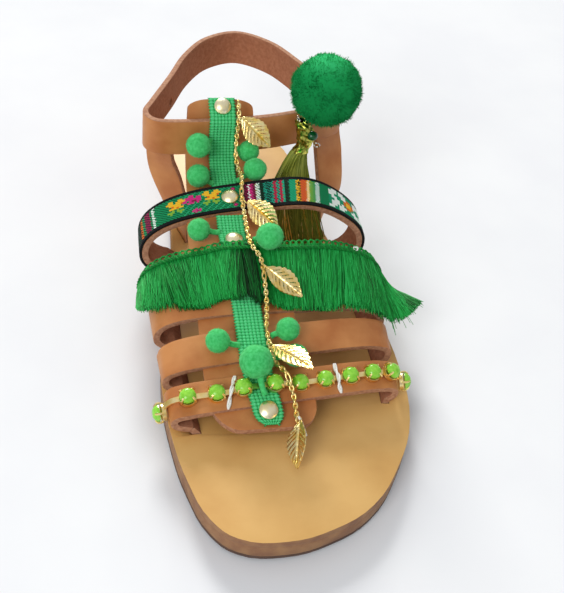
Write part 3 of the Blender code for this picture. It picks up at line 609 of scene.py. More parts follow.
TONGUE_PATH = [
    (station, last_top(station, middle_x(station)) + LEATHER - TONGUE_SINK)
    for station in np.linspace(TONGUE_TOE, TONGUE_LAST_STATION, TONGUE_SAMPLES)
] + list(TONGUE_RISE)
leather_strip(strip("leather_tongue", tongue_surface, *TONGUE_STEPS), 1.0, flesh_first=True)
ankle_loop = strip("leather_ankle_loop", ankle_surface, *ANKLE_STEPS)
enter(ankle_loop)
bpy.ops.mesh.remove_doubles(threshold=MERGE * MM)
leave()
leather_strip(ankle_loop, -1.0)
wall_way = facing(ankle_surface, *HOLE_PLACE)
bpy.ops.mesh.primitive_cylinder_add(
    vertices=32,
    radius=HOLE_RADIUS * MM,
    depth=2 * HOLE_DEPTH * MM,
    location=ankle_surface(*HOLE_PLACE) - LEATHER * MM * wall_way,
    rotation=wall_way.to_track_quat("Z", "Y").to_euler(),
)
punch = bpy.context.object
punch.data.materials.append(cut_edge)
modified(ankle_loop, "BOOLEAN", object=punch, operation="DIFFERENCE")
bpy.data.objects.remove(punch)
for band, rows in BANDS.items():
    band_strip = strip("leather_" + band, band_surface(rows), *BAND_STEPS)
    leather_strip(band_strip, 0.0, flesh_first=band == "lateral_band")


# Woven tape: a narrow picot tape of green polyester yarn down the middle of the shoe, in two stretches.
# It is sewn over the tongue and the front straps, passes under the woven strap, and is riveted at its ends.
TAPE_WIDTH = 9.4
TAPE_THICKNESS = 1.2
TAPE_TOE = 41.6
TAPE_FRONT_END = 128.6
# station, height of the tape's back over the last
TAPE_LIFT = ((41.0, 1.4), (42.8, 1.4), (50.2, 3.2), (112.4, 3.2), (119.8, 1.4), (131.0, 2.1))
# station, height of the tape's back behind the woven strap
TAPE_RISE = (
    (145.2, 40.6),
    (150.0, 39.7),
    (155.3, 40.9),
    (159.4, 44.2),
    (162.1, 50.0),
    (162.9, 56.0),
    (163.0, 61.3),
    (164.8, 64.3),
    (167.0, 66.3),
    (169.4, 68.4),
)
TAPE_ROW = 1.25
TAPE_COLUMNS = 7
TAPE_TAB = 5.4
TAPE_TAB_LEAST = 0.2
TAPE_BED = 0.72
TAPE_WALL = 0.55
TAPE_SAMPLES = 200
STITCH_STEPS = 5
STITCH_HEIGHT = 0.34
EYE_DEPTH = 0.35
EYE_WIDTH = 0.2
PICOT = 0.9
PICOT_EDGE = 12
PILLOW_ROUND = 0.4
# tone of a stitch, then the painted light that its height adds, the painted shade its eye adds, and chance
STITCH_TONES_WITH_PAINTED_SHADE = (0.6, 0.3, -0.5, 0.05)
# chance for all stitches, fibres and threads, drawn in one row
dice = np.random.default_rng(11)


def tape_path(back, t):
    """Station and height of the tape's back, in front of the woven strap or behind it."""
    if back:
        return along(TAPE_RISE, t)
    station = TAPE_TOE + (TAPE_FRONT_END - TAPE_TOE) * t
    stations, lifts = zip(*TAPE_LIFT)
    return station, last_top(station, middle_x(station)) + np.interp(station, stations, lifts)


def tape_surface(back):
    def surface(u, v):
        station, height = tape_path(back, u)
        return place(station, middle_x(station) + TAPE_WIDTH * (0.5 - v), height)

    return surface


def tab_width(back, station):
    """Share of its width that the tape has at a station: its toe end is cut round."""
    ahead = 0 if back else max(TAPE_TOE + TAPE_TAB - station, 0) / TAPE_TAB
    return math.sqrt(max(1 - ahead * ahead, TAPE_TAB_LEAST))


def set_tones(mesh, tones):
    """Gives each point of a mesh its tone."""
    tone = mesh.attributes.new("tone", "FLOAT", "POINT")
    tone.data.foreach_set("value", np.clip(np.asarray(tones, dtype=np.float32), 0, 1))


def toned(material, colours):
    """Colours the material by the tone that each of its threads carries."""
    tree = material.node_tree
    tone = add(tree, "Attribute", attribute_name="tone")
    ramp = add(tree, "ValToRGB", links={"Fac": tone.outputs["Fac"]})
    set_stops(ramp, zip(np.linspace(0, 1, len(colours)), colours))
    feed(tree, "Base Color", ramp.outputs["Color"])


# Bulked polyester yarn: bright green and matt, painted shade in the eyes, painted light on stitch tops
tape_yarn = new_material("bulked_polyester_yarn", roughness=0.85, specular_ior_level=0.2)
toned(tape_yarn, ("#14703A", "#36B467", "#55CF85", "#78E3A2"))
grained(tape_yarn, 0.35, 0.06)

for name, node, back in (("tape_front_yarn", "tape_front", False), ("tape_back_yarn", "tape_back", True)):
    surface = tape_surface(back)
    even = np.linspace(0, 1, TAPE_SAMPLES)
    run = running(np.array([surface(t, 0.5) for t in even]))
    rows = int(run[-1] / MM / TAPE_ROW)
    shares = np.interp(np.linspace(0, run[-1], rows * STITCH_STEPS + 1), run, even)
    middles = [surface(u, 0.5) for u in shares]
    normals = [facing(surface, u, 0.5, 0.02) for u in shares]
    tones = []

    def stitched(u, v):
        """Plump stitches in rows and columns, with a sunk eye where four meet and loops along both edges."""
        line = round(u * rows * STITCH_STEPS)
        row, column = u * rows, v * TAPE_COLUMNS
        off_row, off_column = abs(row - round(row)), abs(column - round(column))
        pillow = (math.sin(math.pi * off_row) * math.sin(math.pi * off_column)) ** PILLOW_ROUND
        eye = math.exp(-(math.hypot(off_row, off_column) / EYE_WIDTH) ** 2)
        edge = abs(2 * v - 1) ** PICOT_EDGE
        loop = PICOT * edge * (2 * math.sin(math.pi * off_row) - 1)
        across = TAPE_WIDTH * tab_width(back, tape_path(back, shares[line])[0]) * (0.5 - v)
        across += math.copysign(loop, 0.5 - v)
        tone, painted_light_by_height, painted_shade_by_eye, by_chance = STITCH_TONES_WITH_PAINTED_SHADE
        # painted light on the stitch tops and painted shade in the eyes where four stitches meet
        tones.append(tone + painted_light_by_height * (pillow - 0.5) + painted_shade_by_eye * eye + by_chance * dice.standard_normal())
        height = TAPE_BED + STITCH_HEIGHT * pillow - EYE_DEPTH * eye
        return middles[line] + Vector((across, 0, 0)) * MM + height * MM * normals[line]

    yarn = strip(name, stitched, rows * STITCH_STEPS, TAPE_COLUMNS * STITCH_STEPS)
    set_tones(yarn.data, tones)
    modified(yarn, "SOLIDIFY", thickness=TAPE_WALL * MM, offset=-1.0)
    dressed(yarn, tape_yarn, "woven_tape", node, angle=80)


# Felt balls: ten wet-felted wool balls along the tape, each on a short felted stem sewn into the tape's edge.
# The wool stands off as a very short fuzz.
# station, sideways place, height, radius, then the root of the stem
FELT_BALLS = (
    (157.0, -22.7, 54.3, 5.0, 161.2, -17.5, 54.0),
    (157.4, -2.1, 50.9, 4.4, 160.6, -7.1, 50.4),
    (149.8, -23.2, 44.7, 4.7, 149.6, -17.6, 41.2),
    (147.6, -0.8, 48.9, 4.7, 150.0, -6.9, 41.6),
    (119.8, -26.4, 41.1, 4.4, 120.5, -18.6, 39.0),
    (108.6, -1.4, 45.8, 5.2, 112.6, -6.3, 41.2),
    (70.4, -25.2, 30.6, 4.4, 71.0, -17.5, 27.4),
    (72.6, 0.2, 32.3, 4.3, 73.1, -5.6, 28.6),
    (59.7, -13.2, 30.2, 6.0, 50.8, -10.8, 22.7),
    (64.0, 2.0, 27.7, 4.2, 65.4, -5.9, 25.0),
)
FELT_STEM = 1.05
STEM_TAPER = (1.3, 1.1, 1.0, 1.0, 1.0, 1.05, 1.15)
STEM_BOW = 0.4
STEM_INSET = 0.6
STEM_SIDES = 12
FELT_LUMP = 0.2
FELT_SINK = 0.1
LUMP_PACE = 1.7
LUMP_SHIFT = 7.0
SMALL_LUMP = 0.35
SMALL_LUMP_PACE = 6.0
FUZZ_COUNT = 420
FUZZ_LENGTH = 0.34
FUZZ_LENGTHS = (0.4, 1.2)
FUZZ_RADIUS = 0.035
FUZZ_INSET = 0.25
FUZZ_SWAY = 0.5
# share of its length that a fibre stands off at its middle and at its end, and share of its sway there
FUZZ_STEPS = ((0.45, 0.3), (0.7, 1.1))
RAY_SHAKE = 0.05
# a way that no thread runs along, and a length that keeps a division from failing
THREAD_ASIDE = (0.31, 0.52, 0.79)
TINY = 1e-12


def threads(name, paths, radii, tones=0.5, sides=3):
    """One piece of many fine threads: each path is a row of points in metres, and each has its tone."""
    paths = np.asarray(paths)
    count, rings = paths.shape[:2]
    run = np.gradient(paths, axis=1)
    run /= np.linalg.norm(run, axis=2, keepdims=True) + TINY
    side = np.cross(run, THREAD_ASIDE)
    side /= np.linalg.norm(side, axis=2, keepdims=True) + TINY
    up = np.cross(run, side)
    angles = np.arange(sides) * 2 * math.pi / sides
    ring = side[:, :, None] * np.cos(angles)[:, None] + up[:, :, None] * np.sin(angles)[:, None]
    thick = np.broadcast_to(np.asarray(radii), (count, rings))
    verts = paths[:, :, None] + thick[:, :, None, None] * ring
    index = np.arange(count * rings * sides).reshape(count, rings, sides)
    after = np.roll(index, -1, axis=2)
    quads = np.stack([index[:, :-1], after[:, :-1], after[:, 1:], index[:, 1:]], axis=-1).reshape(-1, 4)
    mesh = bpy.data.meshes.new(name)
    faces = quads.tolist() + index[:, 0, ::-1].tolist() + index[:, -1].tolist()
    mesh.from_pydata(verts.reshape(-1, 3).tolist(), [], faces)
    set_tones(mesh, np.repeat(np.broadcast_to(tones, count), rings * sides))
    return linked(name, mesh)


def around(count):
    """Directions spread evenly round a ball, a little shaken."""
    i = np.arange(count) + 0.5
    z = 1 - 2 * i / count
    turn = math.pi * (1 + 5**0.5) * i
    flat = np.sqrt(1 - z * z)
    rays = np.c_[flat * np.cos(turn), flat * np.sin(turn), z] + RAY_SHAKE * dice.standard_normal((count, 3))
    return rays / np.linalg.norm(rays, axis=1, keepdims=True)


def joined(name, pieces):
    """Joins pieces to one, named for the whole."""
    bpy.ops.object.select_all(action="DESELECT")
    for piece in pieces:
        piece.select_set(True)
    bpy.context.view_layer.objects.active = pieces[0]
    bpy.ops.object.join()
    pieces[0].name = pieces[0].data.name = name
    bpy.ops.object.select_all(action="DESELECT")
    return pieces[0]


# Felted wool: flat saturated green without shine, its fibres matted in every direction
felt = new_material(
    "felted_wool", roughness=0.95, specular_ior_level=0.1, sheen_weight=0.1, sheen_roughness=0.6
)
mottled(felt, ("#38B45C", "#50CC78"), 1.2, 8.0)
grained(felt, 0.4, 0.09, 6.0)

for number, (station, x, z, radius, *root) in enumerate(FELT_BALLS, 1):
    centre, foot = np.array(place(station, x, z)), np.array(place(*root))
    bpy.ops.mesh.primitive_ico_sphere_add(subdivisions=4, radius=1)
    ball = bpy.context.object
    for vert in ball.data.vertices:
        lump = noise.noise(vert.co * LUMP_PACE + Vector((number * LUMP_SHIFT, 0, 0)))
        lump += SMALL_LUMP * noise.noise(vert.co * SMALL_LUMP_PACE)
        vert.co = Vector(centre) + vert.co * (radius + FELT_LUMP * lump - FELT_SINK) * MM
    towards = (foot - centre) / np.linalg.norm(foot - centre)
    start = centre + towards * (radius - STEM_INSET) * MM
    bow = np.cross(towards, (0, 0, 1)) * STEM_BOW * MM
    shares = np.linspace(0, 1, len(STEM_TAPER))
    stem_path = [start + (foot - start) * t + bow * math.sin(math.pi * t) for t in shares]
    stem = threads("stem", [stem_path], FELT_STEM * MM * np.array([STEM_TAPER]), sides=STEM_SIDES)
    rays = around(FUZZ_COUNT)
    sway = FUZZ_SWAY * dice.standard_normal((FUZZ_COUNT, 3))
    length = FUZZ_LENGTH * dice.uniform(*FUZZ_LENGTHS, (FUZZ_COUNT, 1))
    fibres = [centre + rays * (radius - FUZZ_INSET) * MM]
    for out, bent in FUZZ_STEPS:
        fibres.append(centre + (rays * (radius + out * length) + sway * bent * length) * MM)
    fuzz = threads("fuzz", np.stack(fibres, axis=1), FUZZ_RADIUS * MM)
    whole = joined(f"felt_ball_{number:02d}", [ball, stem, fuzz])
    dressed(whole, felt, "green_felt", f"pompom_{number:02d}", angle=60)


# Woven ribbon: a jacquard band with striped ends and flower sprigs, bound in black along both edges.
# It is glued on the woven strap from one curl to the other.
RIBBON_THICKNESS = 0.9
RIBBON_SEAT = 0.25
# shares of the strap where the ribbon starts and ends
RIBBON_ENDS = (0.10, 0.905)
RIBBON_STEPS = 264
RIBBON_ROWS = 30
RIBBON_BINDING = 0.10
ZIGZAG = 0.0016
ZIGZAG_ROWS = 4
HATCHED = (0.255, 0.43)
HATCH_EVERY = 6
SECOND_YARN_EVERY = 3
RIB_DEPTH = 0.12
YARN_COLOURS = {
    "k": "#121516",
    "g": "#0F9058",
    "d": "#06482B",
    "t": "#1FA183",
    "m": "#8A1F49",
    "p": "#CF2F7E",
    "r": "#B3283C",
    "w": "#EAF1EA",
    "y": "#F2BC2C",
    "o": "#DE6A1C",
    "l": "#86B43C",
    "e": "#2FB07A",
}
# share of the ribbon where each stripe ends, with its two yarns, from the medial end
STRIPES = (
    (0.114, "kd"), (0.124, "ok"), (0.136, "gk"), (0.156, "mk"), (0.163, "gk"), (0.172, "wg"),
    (0.455, "gd"), (0.472, "mk"), (0.478, "wp"), (0.487, "pm"), (0.497, "mk"), (0.504, "wl"), (0.511, "wg"),
    (0.524, "kd"), (0.533, "tk"), (0.546, "kt"), (0.556, "tk"), (0.566, "rm"), (0.574, "tk"), (0.584, "rm"),
    (0.591, "tg"), (0.605, "kd"), (0.626, "gt"), (0.633, "yk"), (0.640, "ky"), (0.658, "or"), (0.668, "yw"),
    (0.678, "lg"), (0.686, "gl"), (0.693, "wt"), (0.700, "wt"), (0.735, "gd"), (1.01, "gt"),
)
SPRIG_FLOWER = (
    ".yy..yy.",
    "yyy.yyyy",
    ".yyyyyo.",
    "..oyyy..",
    ".yyyoyy.",
    "..l.l...",
    "lll.lll.",
    ".l...l..",
)
SPRIG_BLOSSOM = (
    "...pp...",
    ".pppp.pp",
    "pppppppp",
    "pp.pmmpp",
    "..ppp.p.",
)
SPRIG_BUD = (
    ".mm.",
    "mppm",
    "mppm",
    ".mm.",
)
SPRIG_WAVE = (
    ".ww.",
    "www.",
    "ww..",
    ".ww.",
    "..ww",
    ".www",
    ".ww.",
    "ww..",
)
SPRIG_DIAMOND = (
    "ww.....w",
    "www...ww",
    ".wwoo.ww",
    "..oyyow.",
    "..oyyo..",
    ".w.oo.w.",
    "www..www",
    "ww....ww",
)
# share of the ribbon at the sprig's first column, its first row, the sprig, and the size of its squares
SPRIGS = (
    (0.214, 8, SPRIG_FLOWER, 2),
    (0.262, 15, SPRIG_BLOSSOM, 2),
    (0.288, 4, SPRIG_BLOSSOM, 1),
    (0.328, 10, SPRIG_FLOWER, 2),
    (0.418, 22, SPRIG_BUD, 1),
    (0.422, 4, SPRIG_BUD, 1),
    (0.738, 4, SPRIG_WAVE, 3),
    (0.780, 4, SPRIG_DIAMOND, 3),
    (0.862, 4, SPRIG_WAVE, 3),
)


def ribbon_yarn(share, v, column, row):
    """Yarn that shows at one place of the weave."""
    if v < RIBBON_BINDING or v > 1 - RIBBON_BINDING:
        return "k"
    for start, low, sprig, size in SPRIGS:
        across = round((share - start) * RIBBON_STEPS) // size
        down = len(sprig) - 1 - (row - low) // size
        if 0 <= across < len(sprig[0]) and 0 <= down < len(sprig) and row >= low:
            if sprig[down][across] != ".":
                return sprig[down][across]
    slanted = share + ZIGZAG * (abs(row % ZIGZAG_ROWS - ZIGZAG_ROWS / 2) - 1)
    yarns = next(pair for end, pair in STRIPES if slanted < end)
    if yarns == "gd" and HATCHED[0] < share < HATCHED[1] and (column - row) % HATCH_EVERY == 0:
        return "e"
    return yarns[1] if (column + row) % SECOND_YARN_EVERY == 0 else yarns[0]


def face_uv(piece, face):
    """Middle of a face of a strip, in its u and v."""
    return np.mean([piece.data.uv_layers["UVMap"].data[i].uv for i in face.loop_indices], axis=0)


def ribbon_surface(u, v):
    low, high = RIBBON_ENDS
    return strap_surface("woven_strap", LEATHER + RIBBON_SEAT)(low + (high - low) * u, v)


# Jacquard of cotton and polyester yarn: matt, each yarn its own colour, with a fine diagonal rib
jacquard = new_material("jacquard_weave", roughness=0.85, specular_ior_level=0.2)
tree = jacquard.node_tree
yarn_colour = add(tree, "Attribute", attribute_name="yarn")
feed(tree, "Base Color", yarn_colour.outputs["Color"])
uv = add(tree, "UVMap", uv_map="UVMap")
across = add(tree, "Mapping", {"Scale": (RIBBON_STEPS / 2, RIBBON_ROWS / 2, 1)}, {"Vector": uv.outputs["UV"]})
rib_wave = {"Scale": 0.5, "Distortion": 0.6}
rib = add(tree, "TexWave", rib_wave, {"Vector": across.outputs["Vector"]}, bands_direction="DIAGONAL")
rib_bump = add(tree, "Bump", {"Distance": RIB_DEPTH * MM}, {"Height": rib.outputs["Fac"]})
feed(tree, "Normal", rib_bump.outputs["Normal"])

ribbon = strip("jacquard_ribbon", ribbon_surface, RIBBON_STEPS, RIBBON_ROWS)
paint = ribbon.data.color_attributes.new("yarn", "FLOAT_COLOR", "CORNER")
for face in ribbon.data.polygons:
    u, v = face_uv(ribbon, face)
    code = ribbon_yarn(u, v, int(u * RIBBON_STEPS), int(v * RIBBON_ROWS))
    for i in face.loop_indices:
        paint.data[i].color = linear(YARN_COLOURS[code])
modified(ribbon, "SOLIDIFY", thickness=RIBBON_THICKNESS * MM, offset=1.0)
dressed(ribbon, jacquard, "patterned_ribbon", "woven_ribbon", angle=60)


# Rivets: domed caps pressed from brass and plated pale gold, three on the tape and one on the ribbon.
# Each cap is spun with a rolled rim and clenched through tape, ribbon and leather.
# stations on the front tape, then share of the woven strap and station on it
TAPE_RIVETS = (46.8, 116.0)
RIBBON_RIVET = (0.432, 136.8)
TOP_RIVET_SHARE = 0.865
RIVET_RADIUS = 3.4
RIVET_HEIGHT = 2.2
RIVET_SEAT = 0.2
# the cap is modelled with a radius of 1: its wall, the height and roundness of its dome, and its rolled rim
CAP_WALL = 0.1
CAP_FOOT = 0.02
CAP_DOME = 0.86
CAP_ROUND = 1.15
CAP_RIM = 0.06
CAP_RIM_PLACE = 0.95
CAP_RIM_WIDTH = 0.04


def shape_of(piece):
    """Points and faces of a modelled shape, which is then put away."""
    points = np.array([vert.co for vert in piece.data.vertices])
    faces = [tuple(face.vertices) for face in piece.data.polygons]
    bpy.data.objects.remove(piece)
    return points, faces


def repeated(name, shape, frames):
    """One piece made of copies of a shape, each in its own place."""
    points, faces = shape
    verts, polygons, count = [], [], len(points)
    for i, place_frame in enumerate(frames):
        matrix = np.array(place_frame)
        verts.extend((points @ matrix[:3, :3].T + matrix[:3, 3]).tolist())
        polygons.extend(tuple(k + i * count for k in face) for face in faces)
    mesh = bpy.data.meshes.new(name)
    mesh.from_pydata(verts, [], polygons)
    return linked(name, mesh)


def frame_on(surface, u, v, lift, size, step=0.03):
    """Frame that stands on a surface: its Z along the normal and its X along u, scaled to a size."""
    normal = facing(surface, u, v, step)
    run = (surface(min(u + step, 1), v) - surface(max(u - step, 0), v)).normalized()
    cross = normal.cross(run)
    matrix = Matrix((run, cross, normal)).transposed().to_4x4()
    matrix.translation = surface(u, v) + lift * MM * normal
    return matrix @ Matrix.Diagonal((*[s * MM for s in size], 1))


# Plated brass, pale gold: polished, nearly white where it mirrors the light
pale_gold = new_material("pale_gold_plate", metallic=1.0, roughness=0.36)
mottled(pale_gold, ("#FAEAB2", "#FFF8DA"), 3.0)

bpy.ops.mesh.primitive_uv_sphere_add(segments=48, ring_count=40, radius=1)
cap = bpy.context.object
enter(cap)
bpy.ops.mesh.bisect(plane_co=(0, 0, CAP_FOOT), plane_no=(0, 0, 1), use_fill=False, clear_inner=True)
leave()
for vert in cap.data.vertices:
    flat = math.hypot(vert.co.x, vert.co.y)
    rim = CAP_RIM * math.exp(-(((flat - CAP_RIM_PLACE) / CAP_RIM_WIDTH) ** 2))
    vert.co.z = CAP_DOME * vert.co.z**CAP_ROUND + rim
modified(cap, "SOLIDIFY", thickness=CAP_WALL, offset=-1.0)
cap_shape = shape_of(cap)
edges = STRAPS["woven_strap"]
ribbon_front, ribbon_rear = bowed(*edges[:3], RIBBON_RIVET[0]), bowed(*edges[3:], RIBBON_RIVET[0])
ribbon_across = (RIBBON_RIVET[1] - ribbon_front) / (ribbon_rear - ribbon_front)
over_ribbon = strap_surface("woven_strap", LEATHER + RIBBON_SEAT)
rivet_seats = []
for at in TAPE_RIVETS:
    share = (at - TAPE_TOE) / (TAPE_FRONT_END - TAPE_TOE)
    rivet_seats.append((tape_surface(False), share, 0.5, TAPE_THICKNESS))
rivet_seats.append((over_ribbon, RIBBON_RIVET[0], ribbon_across, RIBBON_THICKNESS))
rivet_seats.append((tape_surface(True), TOP_RIVET_SHARE, 0.5, TAPE_THICKNESS))
for number, (surface, u, v, thickness) in enumerate(rivet_seats, 1):
    seat = frame_on(surface, u, v, thickness + RIVET_SEAT, (RIVET_RADIUS, RIVET_RADIUS, RIVET_HEIGHT))
    rivet = repeated(f"rivet_cap_{number:02d}", cap_shape, [seat])
    dressed(rivet, pale_gold, "gold_plate", f"rivet_{number:02d}", angle=70)


# Fringe: silky rayon threads knotted on a looped header, which is sewn along the third strap's rear edge.
# The threads fall forward over the strap in uneven locks, part at the tape and fan out at both ends.
FRINGE_ENDS = (0.135, 0.885)
FRINGE_REACH = (0.76, 1.08)
FRINGE_BACK = 0.3
FRINGE_DEEP = 2.0
FRINGE_BELLY = 1.2
FRINGE_THINNING = 0.45
FRINGE_OVER_TAPE = 0.4
FRINGE_OVER_TAPE_REACH = 0.11
FRINGE_TAPE_RISE = 2.1
# shares of the header where the threads still lie on the strap and where they are free, at either end
FRINGE_FREE = ((0.16, 0.06), (0.76, 0.88))
# share of the fringe, and the place of its tips there (station, sideways, height)
FRINGE_FAN = (
    (0.00, 98.2, -50.7, 23.0),
    (0.06, 94.8, -49.4, 24.0),
    (0.14, 93.0, -44.4, 26.0),
    (0.80, 85.3, 27.4, 31.2),
    (0.84, 84.8, 33.6, 28.6),
    (0.88, 85.8, 41.0, 23.6),
    (0.92, 87.2, 46.2, 20.6),
    (0.96, 90.2, 52.2, 21.4),
    (1.00, 94.6, 57.4, 23.0),
)
FRINGE_PARTING = 0.405
FRINGE_LOCKS = 120
FRINGE_CLUMPS = 27
# middle, width and depth of the stretch that is cut shorter
FRINGE_NOTCH = (0.33, 0.075, 0.11)
FRINGE_STEPS = 6
FRINGE_THREAD = 0.12
FRINGE_TIP = 0.75
# stretch of the fringe, shares of the header where it starts and ends, number of its threads
FRINGE_SIDES = (
    ("medial", 0.0, FRINGE_PARTING, 3400),
    ("lateral", FRINGE_PARTING, 0.78, 2600),
    ("fan", 0.78, 1.0, 3600),
)
# what changes to and fro from one lock or clump to the next: how much it changes, and at what pace
CLUMP_EDGE = (0.3, 50.0)
LOCK_DRIFT = (0.008, 97.0)
CLUMP_DRIFT = (0.012, 41.0)
CLUMP_LENGTH = (0.045, 187.0)
CLUMP_TONE = (0.09, 143.0)
# how far threads are drawn to the middle of their lock and clump, and how far each strays
LOCK_PULL = 0.2
CLUMP_PULL = 0.3
THREAD_STRAY = 0.014
THREAD_LENGTH = 0.98
THREAD_RAGGED = 0.055
THREAD_LENGTHS = (0.8, 1.08)
DEPTH_WAVE = 0.22
DEPTH_WAVE_PACE = 5
DEPTH_LIMITS = (-0.1, 1.2)
# push aside and width at the parting, then depth, place and width of the painted shade there
PARTING_PUSH = (0.03, 0.07)
PARTING_SHADE = (0.6, 0.02, 0.035)
# painted shade at the back of the fringe, the painted light that its face adds and how steeply, and chance
THREAD_PAINTED_LIGHT_AND_SHADE = (0.36, 0.42, 1.5, 0.2)
# length of the backing, then size, pace and seed of each roughness of its edge
BACKING_LENGTH = 0.86
BACKING_EDGE = ((0.07, 60.0, 0.0), (0.05, 170.0, 3.0))
BACKING_START = 0.02
BACKING_STEPS = (240, 10)
BACKING_WALL = 0.2
# dark tone of the backing as painted shade deep inside the fringe, and the pace at which it varies
BACKING_PAINTED_SHADE = 0.12
BACKING_SHADE_PACE = 0.9
STRAY_THREADS = 16
STRAY_ROOTS = (0.9, 1.0)
STRAY_LENGTHS = (1.02, 1.2)
STRAY_SWAY = 1.2
STRAY_THREAD = 0.11
STRAY_TONE = 0.55
U_STEPS = 80
V_STEPS = 12
HEADER_LOOPS = 46
HEADER_THREAD = 0.42
HEADER_SIDES = 6
# places of a loop's two feet between it and its neighbours, and its shape over them
LOOP_FEET = (0.1, 0.9)
LOOP_FOOT = 0.09
LOOP_RISE = 0.9
LOOP_SHOULDER = 0.2
LOOP_SIDE = 0.5
LOOP_TOP = 0.75
LOOP_TONES = (0.45, 0.75)
BRAID_STEPS = 361
BRAID_PLACE = 0.075
BRAID_SWING = 0.018
BRAID_DEPTH_PLACE = 0.1
BRAID_STAND = (0.16, 0.12)
BRAID_TONES = (0.4, 0.5)


def fringe_free(u):
    """How far the threads have left the strap at a share of the fringe, from 0 to 1."""
    free = max((u - held) / (loose - held) for held, loose in FRINGE_FREE)
    free = min(max(free, 0), 1)
    return free * free * (3 - 2 * free)


def fringe_point(u, v, deep):
    """Place in the fringe: u along the header, v from it to the tips, deep from the back to the face."""
    at = FRINGE_ENDS[0] + (FRINGE_ENDS[1] - FRINGE_ENDS[0]) * u
    reach = float(np.interp(u, (0, 1), FRINGE_REACH))
    crossing = math.exp(-(((u - FRINGE_OVER_TAPE) / FRINGE_OVER_TAPE_REACH) ** 6))
    belly = FRINGE_BELLY * v * (1 - v) + FRINGE_DEEP * deep * (1 - FRINGE_THINNING * v)
    lift = LEATHER + FRINGE_BACK + FRINGE_TAPE_RISE * crossing
    laid = strap_surface("fringe_strap", lift + belly)(at, 1.0 - reach * v)
    header = strap_surface("fringe_strap", lift)(at, 1.0)
    tip = place(*(smooth(FRINGE_FAN, column, u) for column in (1, 2, 3)))
    normal = facing(lambda a, b: on_strap("fringe_strap", a, b), at, 1.0)
    fanned = header + (tip - header) * v + belly * MM * normal
    return np.array(laid.lerp(fanned, fringe_free(u)))


def fringe_cut(u):
    """Length of the threads at a share of the fringe: they are cut shorter inside the tape."""
    middle, width, depth = FRINGE_NOTCH
    return 1 - depth * np.exp(-(((u - middle) / width) ** 4))


def fringe_grid(deep):
    """The back or the face of the fringe, sampled in even steps and a little past its tips."""
    falls = [v / V_STEPS for v in range(V_STEPS + 2)]
    return np.array([[fringe_point(u / U_STEPS, v, deep) for v in falls] for u in range(U_STEPS + 1)])


def in_grid(grid, u, v):
    """Points of a sampled surface at rows of shares u and v."""
    row = np.clip(np.asarray(u) * U_STEPS, 0, U_STEPS - 0.001)
    column = np.clip(np.asarray(v) * V_STEPS, 0, V_STEPS + 0.999)
    i, j = row.astype(int), column.astype(int)
    f, g = (row - i)[..., None], (column - j)[..., None]
    near = grid[i, j] * (1 - g) + grid[i, j + 1] * g
    far = grid[i + 1, j] * (1 - g) + grid[i + 1, j + 1] * g
    return near * (1 - f) + far * f


def wavering(share, size, pace):
    """A value that changes to and fro along the fringe."""
    return size * np.sin(share * pace)


# Rayon thread: silky green, with painted shade on the back threads and painted light on the face of each lock
rayon = new_material("rayon_thread", roughness=0.55, specular_ior_level=0.15)
toned(rayon, ("#04300F", "#0A6224", "#14963A", "#2EBE5C"))

fringe_back, fringe_face = fringe_grid(0), fringe_grid(1)
for side, low, high, count in FRINGE_SIDES:
    root = dice.uniform(low, high, count)
    deep = dice.uniform(0, 1, count)
    lock = (np.floor(root * FRINGE_LOCKS) + 0.5) / FRINGE_LOCKS
    clump = (np.floor(root * FRINGE_CLUMPS + wavering(root, *CLUMP_EDGE)) + 0.5) / FRINGE_CLUMPS
    drift = wavering(lock, *LOCK_DRIFT) + wavering(clump, *CLUMP_DRIFT)
    off_parting = root - FRINGE_PARTING
    push, push_width = PARTING_PUSH
    parting = push * np.sign(off_parting) * np.exp(-((off_parting / push_width) ** 2))
    ragged = THREAD_RAGGED * dice.standard_normal(count) + wavering(clump, *CLUMP_LENGTH)
    length = np.clip(THREAD_LENGTH + ragged, *THREAD_LENGTHS) * fringe_cut(root)
    v = np.linspace(0, 1, FRINGE_STEPS)[None, :] * length[:, None]
    pull = LOCK_PULL * np.sin(np.linspace(0, math.pi, FRINGE_STEPS))[None, :]
    aside = CLUMP_PULL * (clump - root) + drift + parting
    u = root[:, None] + (lock - root)[:, None] * pull + aside[:, None] * v
    u += THREAD_STRAY * dice.standard_normal((count, 1)) * v
    wave = DEPTH_WAVE * dice.standard_normal((count, 1))
    wave = wave * np.sin(v * DEPTH_WAVE_PACE + dice.uniform(0, 6, (count, 1)))
    depth = np.clip(deep[:, None] + wave, *DEPTH_LIMITS)[..., None]
    paths = in_grid(fringe_back, u, v) * (1 - depth) + in_grid(fringe_face, u, v) * depth
    dark, dark_place, dark_width = PARTING_SHADE
    # painted shade on the threads at the parting
    shade = dark * np.exp(-(((off_parting - dark_place) / dark_width) ** 2))
    painted_back_shade, painted_face_light, steepness, chance = THREAD_PAINTED_LIGHT_AND_SHADE
    # painted shade on the threads at the back and painted light on those at the face
    tones = painted_back_shade + painted_face_light * deep**steepness + chance * dice.standard_normal(count)
    tones += wavering(clump, *CLUMP_TONE) - shade
    taper = FRINGE_THREAD * MM * np.linspace(1.0, FRINGE_TIP, FRINGE_STEPS)[None, :]
    fringe = threads(f"fringe_threads_{side}", paths, taper, tones)
    dressed(fringe, rayon, "fringe_thread", "fringe", angle=80)


def backing_surface(u, v):
    """The innermost threads, which lie so close that nothing shows between them, dark with painted shade."""
    ragged = BACKING_LENGTH
    for size, pace, seed in BACKING_EDGE:
        ragged += size * noise.noise(Vector((u * pace, seed, 0)))
    fall = BACKING_START + v * ragged * fringe_cut(u)
    return Vector(in_grid(fringe_back, np.array([u]), np.array([fall]))[0])


backing = strip("fringe_backing", backing_surface, *BACKING_STEPS)
shades = [noise.noise(vert.co / MM * BACKING_SHADE_PACE) for vert in backing.data.vertices]
